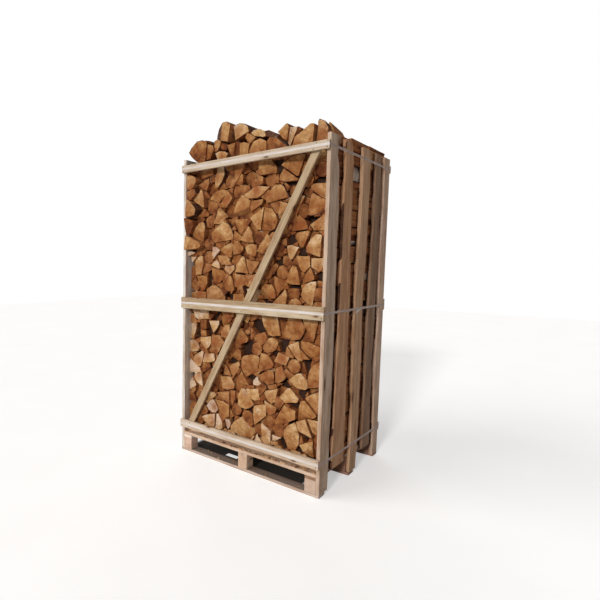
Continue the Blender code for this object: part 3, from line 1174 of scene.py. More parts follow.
def eased(logs, held):
    """The logs, cut where they overlap each other or the held ones, without those that are mostly gone."""
    kept = []
    for log in logs:
        others = [(other, True) for other in held] + [(other, False) for other in kept]
        for other, whole in others:
            if len(log["outline"]) > 2 and len(other["outline"]) > 2:
                ease_off(log, other, whole)
        if lasting(log):
            kept.append(log)
    return [log for log in kept if lasting(log)]


def swell(logs, rng, width, limit, fixed, rounds):
    """Let each log grow, and shift a little, until its neighbours hold it. The fixed outlines don't change."""
    outlines = [log["outline"] for log in logs] + fixed
    lows = np.array([outline.min(0) for outline in outlines])
    highs = np.array([outline.max(0) for outline in outlines])
    shifts = np.array(((0, 0), (0, -1), (1, 0), (-1, 0), (0, 1))) * GROWTH_SHIFT
    steps = [(growth, shift * growth) for growth in GROWTHS for shift in shifts]
    for index in list(rng.permutation(len(logs))) * rounds:
        log = logs[index]
        near = ((lows < highs[index] + NEIGHBOUR) & (highs > lows[index] - NEIGHBOUR)).all(1)
        near[index] = False
        near = [outlines[other] for other in np.nonzero(near)[0]]
        centre = log["outline"].mean(0)
        for growth, shift in steps:
            trial = centre + (log["outline"] - centre) * (1 + growth) + shift
            low, high = trial.min(0), trial.max(0)
            if min(low) < 0 or high[0] > width or (trial[:, 1] > limit(trial[:, 0])).any():
                continue
            if all(apart(trial, other) for other in near):
                log["outline"] = outlines[index] = trial
                log["heart"] = centre + (log["heart"] - centre) * (1 + growth) + shift
                lows[index], highs[index] = low, high
                break


# Log meshes

# A log's finishes, in the order of its material slots
SAWN, SPLIT, BARK = 0, 1, 2
# How far the rows reach left and right, and the plane of the posts' front edges
ROW_REACH = 0.5735
POST_FACE = -0.5
# A lip is the part of a log that sticks out over a post's edge. The mark of its two back rings, how far the
# first is in front of the post, and how far the next is behind that one.
LIP_BACK = 0.001
LIP_GAP = 0.0004
LIP_STEP = 0.0006
# How blunt the sharp corners are, at most as a share of a side, and the lengths past which a side has one
# dent or two
BLUNT = (0.001, 0.004)
BLUNT_SHARE = 0.3
LONG_SIDE = 0.03
LONGER_SIDE = 0.07
# How deep dents go, along split sides as a share of their length, and between the rings on bark and elsewhere
SIDE_DENTS = (-0.004, 0.018)
BARK_RING_DENTS = (-0.0004, 0.0008)
RING_DENTS = (0.0, 0.0016)
# Where along a log its two middle rings are, and the sharpest turn that looks round
MIDDLE_RINGS = ((0.28, 0.42), (0.6, 0.75))
LOG_TURN = 28


def weathered(outline, bark, rng):
    """The outline with its split sides slightly dented and its sharp corners blunted."""
    points = []
    sides = []
    count = len(outline)
    for index in range(count):
        here, following = outline[index], outline[(index + 1) % count]
        if not bark[index] and not bark[index - 1]:
            blunt = rng.uniform(*BLUNT)
            for other in (outline[index - 1], following):
                way = other - here
                points.append(here + way * min(blunt / max(float(np.hypot(*way)), TINY), BLUNT_SHARE))
                sides.append(False)
        else:
            points.append(here)
            sides.append(bool(bark[index]))
        length = float(np.hypot(*(following - here)))
        if bark[index] or length < LONG_SIDE:
            continue
        inward = np.array((here[1] - following[1], following[0] - here[0])) / length
        pieces = 2 if length < LONGER_SIDE else 3
        for step in range(1, pieces):
            share = (step + rng.uniform(-0.2, 0.2)) / pieces
            dent = rng.uniform(*SIDE_DENTS) * length
            points.append(here + (following - here) * share + inward * dent)
            sides.append(False)
    return np.array(points), np.array(sides)


class End:
    """One end of a log: how it tilts, and the crease past which it is broken off aslant."""

    def __init__(self, start, way, tilt, outline, centre, crease=None):
        self.start = start
        self.way = way
        self.tilt = np.array(tilt)
        self.centre = centre
        self.crease = crease
        self.nearest = ((outline - centre) @ self.tilt).min()

    def depth(self, points):
        """The place along Y of points across the log."""
        away = np.asarray(points) - self.centre
        depth = away @ self.tilt - self.nearest
        if self.crease:
            direction, reach, slope = self.crease
            depth = depth + slope * np.maximum(away @ direction - reach, 0)
        return self.start + self.way * depth


def creased(outline, bark, centre, crease):
    """The outline with a point where the crease crosses each side, and which points those are."""
    direction, reach, _ = crease
    beyond = (outline - centre) @ direction - reach
    points = []
    sides = []
    cuts = []
    for index, here in enumerate(beyond):
        following = (index + 1) % len(outline)
        points.append(outline[index])
        sides.append(bark[index])
        if (here > 0) != (beyond[following] > 0):
            cuts.append(len(points))
            step = (outline[following] - outline[index]) * here / (here - beyond[following])
            points.append(outline[index] + step)
            sides.append(bark[index])
    return np.array(points), np.array(sides), cuts


class Pile:
    """Collects the logs that make one mesh."""

    def __init__(self):
        self.points = []
        self.hearts = []
        self.looks = []
        self.hues = []
        self.faces = []
        self.slots = []

    def add(self, log, rng):
        """One log: rings of points from its front end to its back end, bark edges and two sawn ends."""
        outline, bark = weathered(log["outline"], log["bark"], rng)
        centre = outline.mean(0)
        cuts = []
        if log["crease"]:
            outline, bark, cuts = creased(outline, bark, centre, log["crease"])
        count = len(outline)
        first = len(self.points)
        front_crease, back_crease = (None, log["crease"]) if log["broken_back"] else (log["crease"], None)
        front_end = End(log["front"], 1, log["tilts"][0], outline, centre, front_crease)
        back_end = End(log["back"], -1, log["tilts"][1], outline, centre, back_crease)
        stations = [0.0, *(rng.uniform(*places) for places in MIDDLE_RINGS), 1.0]
        if log["lip"]:
            stations[1:1] = [LIP_BACK, LIP_BACK]
        shift = np.zeros(2)
        for row, station in enumerate(stations):
            dent = np.where(bark, rng.uniform(*BARK_RING_DENTS, count), rng.uniform(*RING_DENTS, count))
            inward = centre - outline
            inward /= np.hypot(inward[:, 0], inward[:, 1])[:, None]
            along = 0.0 if station == LIP_BACK else station
            shift = np.array(log["lean"]) * along
            ring = centre + (outline + inward * dent[:, None] - centre) * (1 - log["taper"] * along) + shift
            heart = centre + (log["heart"] - centre) * (1 - log["taper"] * along) + shift
            depth = np.full(count, log["front"] + (log["back"] - log["front"]) * station)
            if station == 0.0:
                depth = front_end.depth(ring)
            if station == 1.0:
                depth = back_end.depth(ring - shift)
            if station == LIP_BACK:
                depth = np.full(count, POST_FACE - LIP_GAP + LIP_STEP * (row - 1))
            if log["lip"] and row > 1:
                ring[:, 0] = np.maximum(ring[:, 0], -ROW_REACH)
            for (x, z), y in zip(ring, depth):
                self.point((x, y, z), heart, log, centre)
        for row in range(len(stations) - 1):
            here = first + row * count
            there = here + count
            for index in range(count):
                following = (index + 1) % count
                self.faces.append((here + index, there + index, there + following, here + following))
                self.slots.append(BARK if bark[index] else SPLIT)
        back = first + (len(stations) - 1) * count
        self.cap(bark, centre, first, log, front_end, np.zeros(2), cuts if front_crease else [], False)
        self.cap(bark, centre, back, log, back_end, shift, cuts if back_crease else [], True)

    def point(self, place, heart, log, centre):
        self.points.append(place)
        self.hearts.append((heart[0], 0.0, heart[1]))
        self.looks.append(log["look"])
        self.hues.append((log["hue"], centre[0], centre[1]))

    def cap(self, bark, centre, first, log, end, shift, cuts, at_back):
        """A sawn end: the wood, and the bark's thickness round it."""
        count = len(bark)
        inner = []
        middle = centre + shift
        for index in range(count):
            before, after = bark[index - 1], bark[index]
            if not before and not after:
                inner.append(first + index)
                continue
            x, _, z = self.points[first + index]
            here = np.array((x, z))
            if before and after:
                target = middle
            else:
                other = (index - 1) % count if after else (index + 1) % count
                target = np.array((self.points[first + other][0], self.points[first + other][2]))
            way = target - here
            here = here + way * min(log["crust"] / max(float(np.hypot(*way)), TINY), 0.45)
            inner.append(len(self.points))
            heart = (self.hearts[first][0], self.hearts[first][2])
            self.point((here[0], float(end.depth(here - shift)), here[1]), heart, log, centre)
        faces = [inner]
        slots = [log["face"]]
        if len(cuts) == 2:
            start, stop = cuts
            parts = (inner[start:stop + 1], inner[stop:] + inner[:start + 1])
            if min(len(part) for part in parts) > 2:
                faces = parts
                direction, reach, _ = log["crease"]
                x, _, z = np.mean([self.points[index] for index in parts[0]], axis=0)
                past = (np.array((x, z)) - centre) @ direction > reach
                slots = [log["nose"], log["face"]] if past else [log["face"], log["nose"]]
        for face, slot in zip(faces, slots):
            self.faces.append(tuple(reversed(face)) if at_back else tuple(face))
            self.slots.append(slot)
        for index in range(count):
            if not bark[index]:
                continue
            following = (index + 1) % count
            strip = (first + index, first + following, inner[following], inner[index])
            self.faces.append(tuple(reversed(strip)) if at_back else strip)
            self.slots.append(BARK)

    def piece(self, name, finishes):
        """The finished object."""
        mesh = bpy.data.meshes.new(name)
        mesh.from_pydata(self.points, [], self.faces)
        for finish in finishes:
            mesh.materials.append(finish)
        mesh.polygons.foreach_set("material_index", self.slots)
        carry(mesh, "log_heart", self.hearts)
        carry(mesh, "log_look", self.looks)
        carry(mesh, "log_hue", self.hues)
        mesh.validate()
        mesh.shade_smooth()
        mesh.polygons.foreach_set("use_smooth", [slot != SAWN for slot in self.slots])
        mesh.set_sharp_from_angle(angle=math.radians(LOG_TURN))
        return placed(name, mesh)


# Log finishes

LOG_RINGS = 0.0042
# From the palest sawn end to the darkest
END_TONES = (
    (0.0, seen(224, 198, 174)), (0.22, seen(206, 166, 120)), (0.5, seen(174, 124, 78)),
    (0.75, seen(146, 90, 48)), (1.0, seen(98, 50, 24)),
)


def sawn_end():
    """A birch log's sawn end: rings round the heart, drying cracks and saw marks."""
    finish = Finish("sawn birch end", 0.8, 0.2)
    tone, red, _ = finish.parts(finish.own("log_look"))
    hue, _, middle = finish.parts(finish.own("log_hue"))
    height = finish.parts(finish.place)[2]
    feeds = {0: finish.place, 1: finish.own("log_heart")}
    from_heart = finish.add("ShaderNodeVectorMath", feeds, operation="SUBTRACT")
    across, _, up = finish.parts(from_heart.outputs[0])
    reach = finish.length(across, up)
    angle = finish.sum("ARCTAN2", up, across)
    seed = finish.times(tone, 90.0)

    cloud = finish.grain(finish.place, (15, 5, 15), (2, 0, 1), detail=2.0)
    blotch = finish.grain(finish.place, (34, 8, 34), detail=3.0, rough=0.6)
    grey = finish.grain(finish.place, (90, 8, 90), (5, 0, 3), detail=3.0)
    depth = finish.plus(tone, finish.sum("SUBTRACT", blotch, 0.5), 0.8)
    depth = finish.plus(depth, finish.sum("SUBTRACT", cloud, 0.5), 0.9)
    # Painted shading: each end is paler above its middle and darker below it
    above = finish.sum("SUBTRACT", height, middle)
    depth = finish.sum("SUBTRACT", depth, finish.span(above, -0.05, 0.05, -0.13, 0.13))
    depth = finish.sum("SUBTRACT", depth, finish.span(height, 0.2, 1.2, 0.07, 0.0))
    colour = finish.ramp(depth, *END_TONES)
    yellow = finish.span(hue, 0.0, 1.0, 0.0, 0.45)
    colour = finish.mixed(yellow, colour, finish.mixed(1.0, colour, (1.0, 0.90, 0.50), "MULTIPLY"))
    uneven_reach = finish.plus(reach, blotch, 0.02)
    heartwood = finish.span(uneven_reach, 0.02, 0.07, 1.0, 0.0)
    colour = finish.mixed(finish.times(heartwood, red), colour, seen(150, 80, 38))
    rings = finish.sum("SINE", finish.times(uneven_reach, FULL_TURN / LOG_RINGS))
    colour = finish.mixed(finish.span(rings, 0.1, 1.0, 0.0, 0.22), colour, seen(124, 72, 36))

    crack = finish.noise(finish.vector(finish.times(angle, 3.0), finish.times(reach, 14.0), seed), detail=1.0)
    crack = finish.sum("ABSOLUTE", finish.sum("SUBTRACT", crack, 0.5))
    crack = finish.span(crack, 0.004, 0.014, 1.0, 0.0)
    crack = finish.times(crack, finish.span(grey, 0.5, 0.6))
    colour = finish.mixed(finish.times(crack, 0.7), colour, seen(60, 32, 18))

    turn = finish.times(tone, 12.0)
    line = finish.plus(finish.times(across, finish.sum("COSINE", turn)), up, finish.sum("SINE", turn))
    saw = finish.noise(finish.vector(finish.times(line, 420.0), seed, 0.0), detail=1.0)
    colour = finish.mixed(finish.span(saw, 0.35, 0.65, 0.16, 0.0), colour, seen(104, 62, 34))
    colour = finish.mixed(finish.span(grey, 0.55, 0.8, 0.0, 0.4), colour, seen(118, 84, 62))
    relief = finish.plus(finish.times(saw, 0.7), rings, 0.12)
    relief = finish.sum("SUBTRACT", relief, finish.times(crack, 1.5))
    return finish.done(colour, relief, 0.0016, finish.span(blotch, 0.3, 0.7, 0.7, 0.9))


def split_side():
    """A split side: torn fibres along the log, warm red-brown."""
    finish = Finish("split birch side", 0.82, 0.2)
    tone, _, _ = finish.parts(finish.own("log_look"))
    fibre = finish.grain(finish.place, (130, 5, 130), detail=4.0, rough=0.6)
    sheet = finish.grain(finish.place, (28, 2.2, 28), detail=3.0, rough=0.6)
    depth = finish.plus(finish.times(fibre, 0.6), sheet, 0.6)
    depth = finish.plus(depth, tone, -0.35)
    stops = ((0.20, seen(108, 58, 32)), (0.42, seen(154, 94, 54)), (0.70, seen(200, 152, 104)))
    colour = finish.ramp(depth, *stops)
    return finish.done(colour, finish.plus(sheet, fibre, 0.6), 0.004)


def birch_bark():
    """Bark: dark and furrowed, on some logs white with dark cross marks, and near black in the hollows, as
    painted shade.
    """
    finish = Finish("birch bark", 0.8, 0.25)
    _, _, white = finish.parts(finish.own("log_look"))
    furrow = finish.grain(finish.place, (60, 16, 60), detail=5.0, rough=0.65)
    old = finish.ramp(furrow, (0.35, seen(56, 32, 20)), (0.6, seen(98, 62, 42)), (0.8, seen(134, 104, 84)))
    marks = finish.grain(finish.place, (22, 190, 22), detail=2.0, rough=0.6)
    patch = finish.grain(finish.place, (9, 9, 9), (3, 1, 7), detail=3.0)
    paper = finish.ramp(patch, (0.35, seen(206, 192, 180)), (0.7, seen(158, 132, 114)))
    paper = finish.mixed(finish.span(marks, 0.60, 0.66), paper, seen(52, 40, 36))
    share = finish.span(finish.plus(white, patch, 0.5), 0.72, 0.86)
    colour = finish.mixed(share, old, paper)
    # Painted shade: bark whose look is below 0, on the logs set deep in the hollows, is near black
    colour = finish.mixed(finish.span(white, -1.0, 0.0, 0.85, 0.0), colour, seen(40, 22, 12))
    return finish.done(colour, finish.plus(furrow, marks, 0.2), 0.003)


# The three rows of logs

# The top logs at the front as the camera sees them, their outlines laid flat on one plane: how many of the
# first sides are bark, how far the front end stands back, tone, and the outline as (X, height),
# anticlockwise
CREST_PLANE = -0.475
FRONT_TOP = (
    ("crusty", 5, 0.006, 0.80,
     [(-0.398, 2.414), (-0.440, 2.430), (-0.492, 2.428), (-0.547, 2.388), (-0.573, 2.356),
      (-0.548, 2.320), (-0.514, 2.289), (-0.414, 2.286)]),
    ("behind crusty", 2, 0.050, 1.00, [(-0.345, 2.390), (-0.372, 2.414), (-0.414, 2.424), (-0.412, 2.388)]),
    ("right of crusty", 0, 0.024, 0.54,
     [(-0.342, 2.380), (-0.399, 2.394), (-0.412, 2.384), (-0.409, 2.280), (-0.363, 2.282),
      (-0.323, 2.350)]),
    ("tall", 5, 0.004, 0.42,
     [(-0.180, 2.504), (-0.212, 2.522), (-0.258, 2.520), (-0.305, 2.490), (-0.326, 2.449),
      (-0.330, 2.409), (-0.273, 2.399), (-0.197, 2.377)]),
    ("fan", 4, 0.046, 0.30,
     [(-0.017, 2.420), (-0.028, 2.452), (-0.055, 2.477), (-0.100, 2.490), (-0.157, 2.482),
      (-0.131, 2.374)]),
    ("tan", 0, 0.030, 0.46,
     [(-0.259, 2.391), (-0.295, 2.411), (-0.328, 2.405), (-0.325, 2.328), (-0.297, 2.326),
      (-0.272, 2.358)]),
    ("dark grey", 1, 0.036, 1.00,
     [(-0.190, 2.360), (-0.259, 2.390), (-0.274, 2.358), (-0.250, 2.328), (-0.213, 2.320),
      (-0.196, 2.338)]),
    ("yellow low", 4, 0.006, 0.22,
     [(-0.197, 2.300), (-0.222, 2.315), (-0.272, 2.325), (-0.312, 2.315), (-0.293, 2.262),
      (-0.228, 2.258)]),
    ("upright wedge", 0, 0.024, 0.66,
     [(-0.136, 2.362), (-0.167, 2.360), (-0.200, 2.353), (-0.179, 2.293), (-0.161, 2.262),
      (-0.145, 2.262)]),
    ("dark strip", 3, 0.040, 1.00,
     [(-0.095, 2.355), (-0.112, 2.372), (-0.136, 2.361), (-0.154, 2.262), (-0.096, 2.262)]),
    ("blunt", 0, 0.010, 0.38,
     [(-0.015, 2.338), (-0.058, 2.354), (-0.095, 2.351), (-0.095, 2.258), (-0.027, 2.258)]),
    ("middle wedge", 0, 0.028, 0.42,
     [(0.042, 2.367), (-0.001, 2.397), (-0.033, 2.409), (-0.049, 2.381), (-0.025, 2.344),
      (-0.005, 2.334)]),
    ("under crusty", 2, 0.010, 0.74,
     [(-0.409, 2.290), (-0.463, 2.306), (-0.516, 2.294), (-0.482, 2.262), (-0.410, 2.258)]),
    ("yellow", 3, 0.030, 0.22,
     [(-0.001, 2.400), (0.024, 2.379), (0.104, 2.358), (0.118, 2.363), (0.107, 2.400), (0.063, 2.421),
      (0.019, 2.416)]),
    ("white bark", 0, 0.054, 0.20,
     [(0.107, 2.398), (0.116, 2.362), (0.158, 2.348), (0.204, 2.325), (0.213, 2.362), (0.142, 2.398)]),
    ("long brown", 1, 0.024, 0.72,
     [(0.294, 2.266), (0.212, 2.332), (0.151, 2.352), (0.132, 2.328), (0.126, 2.256)]),
    ("peak", 0, 0.010, 0.50,
     [(0.294, 2.388), (0.279, 2.418), (0.209, 2.374), (0.249, 2.325), (0.279, 2.306)]),
    ("pale", 0, 0.032, 0.14,
     [(0.351, 2.382), (0.298, 2.386), (0.290, 2.357), (0.286, 2.292), (0.301, 2.266), (0.349, 2.354)]),
    ("dark slip", 1, 0.040, 1.00,
     [(0.384, 2.362), (0.355, 2.386), (0.347, 2.356), (0.310, 2.290), (0.338, 2.311)]),
    ("broad", 0, 0.004, 0.34,
     [(0.464, 2.384), (0.437, 2.387), (0.390, 2.354), (0.334, 2.319), (0.321, 2.258), (0.461, 2.258)]),
    ("pink", 3, 0.036, 0.55,
     [(0.560, 2.338), (0.536, 2.384), (0.499, 2.404), (0.491, 2.389), (0.489, 2.258), (0.562, 2.258)]),
    ("low wedge", 0, 0.012, 0.46,
     [(0.124, 2.330), (0.073, 2.357), (0.017, 2.342), (-0.007, 2.298), (-0.022, 2.258), (0.126, 2.254)]),
    ("last", 0, 0.115, 0.50,
     [(0.607, 2.307), (0.573, 2.370), (0.556, 2.338), (0.563, 2.262), (0.605, 2.262)]),
)
# Logs at the front's left edge, in the same form. The first three stick out over the post's edge.
FRONT_LEFT = (
    ("lip high", 3, -0.030, 0.44,
     [(-0.558, 1.872), (-0.511, 1.880), (-0.500, 1.924), (-0.545, 1.975), (-0.592, 2.010),
      (-0.607, 1.930), (-0.611, 1.872)]),
    ("lip red", 0, -0.030, 0.90,
     [(-0.592, 1.731), (-0.562, 1.733), (-0.543, 1.761), (-0.524, 1.803), (-0.531, 1.837),
      (-0.577, 1.853), (-0.622, 1.866), (-0.609, 1.783)]),
    ("lip low", 0, -0.030, 0.42,
     [(-0.528, 1.617), (-0.470, 1.626), (-0.445, 1.640), (-0.453, 1.660), (-0.503, 1.687),
      (-0.549, 1.709), (-0.606, 1.728), (-0.621, 1.617)]),
    ("left big", 4, 0.006, 0.52,
     [(-0.404, 1.793), (-0.413, 1.819), (-0.435, 1.827), (-0.467, 1.812), (-0.504, 1.777),
      (-0.527, 1.738), (-0.520, 1.714), (-0.473, 1.690), (-0.421, 1.666), (-0.416, 1.695)]),
    ("left pale", 0, 0.004, 0.30,
     [(-0.500, 1.972), (-0.437, 1.937), (-0.415, 1.929), (-0.419, 2.004), (-0.448, 2.071),
      (-0.536, 1.992)]),
    ("left wedge", 0, 0.020, 0.78,
     [(-0.523, 1.848), (-0.448, 1.856), (-0.371, 1.864), (-0.368, 1.884), (-0.409, 1.925),
      (-0.455, 1.880), (-0.528, 1.852)]),
    ("white chip high", 0, 0.008, 0.00,
     [(-0.571, 1.563), (-0.552, 1.573), (-0.524, 1.581), (-0.504, 1.591), (-0.522, 1.600),
      (-0.540, 1.607), (-0.566, 1.605), (-0.571, 1.594)]),
    ("white chip low", 0, 0.008, 0.02,
     [(-0.545, 1.561), (-0.541, 1.547), (-0.534, 1.522), (-0.523, 1.516), (-0.513, 1.533),
      (-0.490, 1.547), (-0.488, 1.561)]),
)
FRONT_LEVEL = 2.248
# How far the rear ends of the outermost top logs drop
DROPS = {"pink": 0.040, "last": 0.030}
# Ends whose barked side shows, as (direction, reach, slope), and ends that are all bark
NOSES = {"tall": (math.pi * 0.97, 0.002, 0.8)}
BARK_FACES = ("white bark",)
YELLOWED = {
    "yellow": 1.0, "yellow low": 1.0, "pink": 0.0, "pale": 0.2, "white chip high": 0.0, "white chip low": 0.0,
}

# Parts of the photograph: the pixel at the upper left corner, across and down, and how many times it is
# enlarged
UPPER_LEFT = (186, 166, 15)
UPPER_RIGHT = (262, 150, 18)
MIDDLE_LEFT = (186, 232, 15)
MIDDLE_RIGHT = (262, 225, 18)
LOWER_LEFT = (184, 306, 18)
LOWER_RIGHT = (225, 312, 15)
BOTTOM_LEFT = (184, 375, 18)
BOTTOM_RIGHT = (225, 388, 15)
WHOLE = (0, 0, 1)
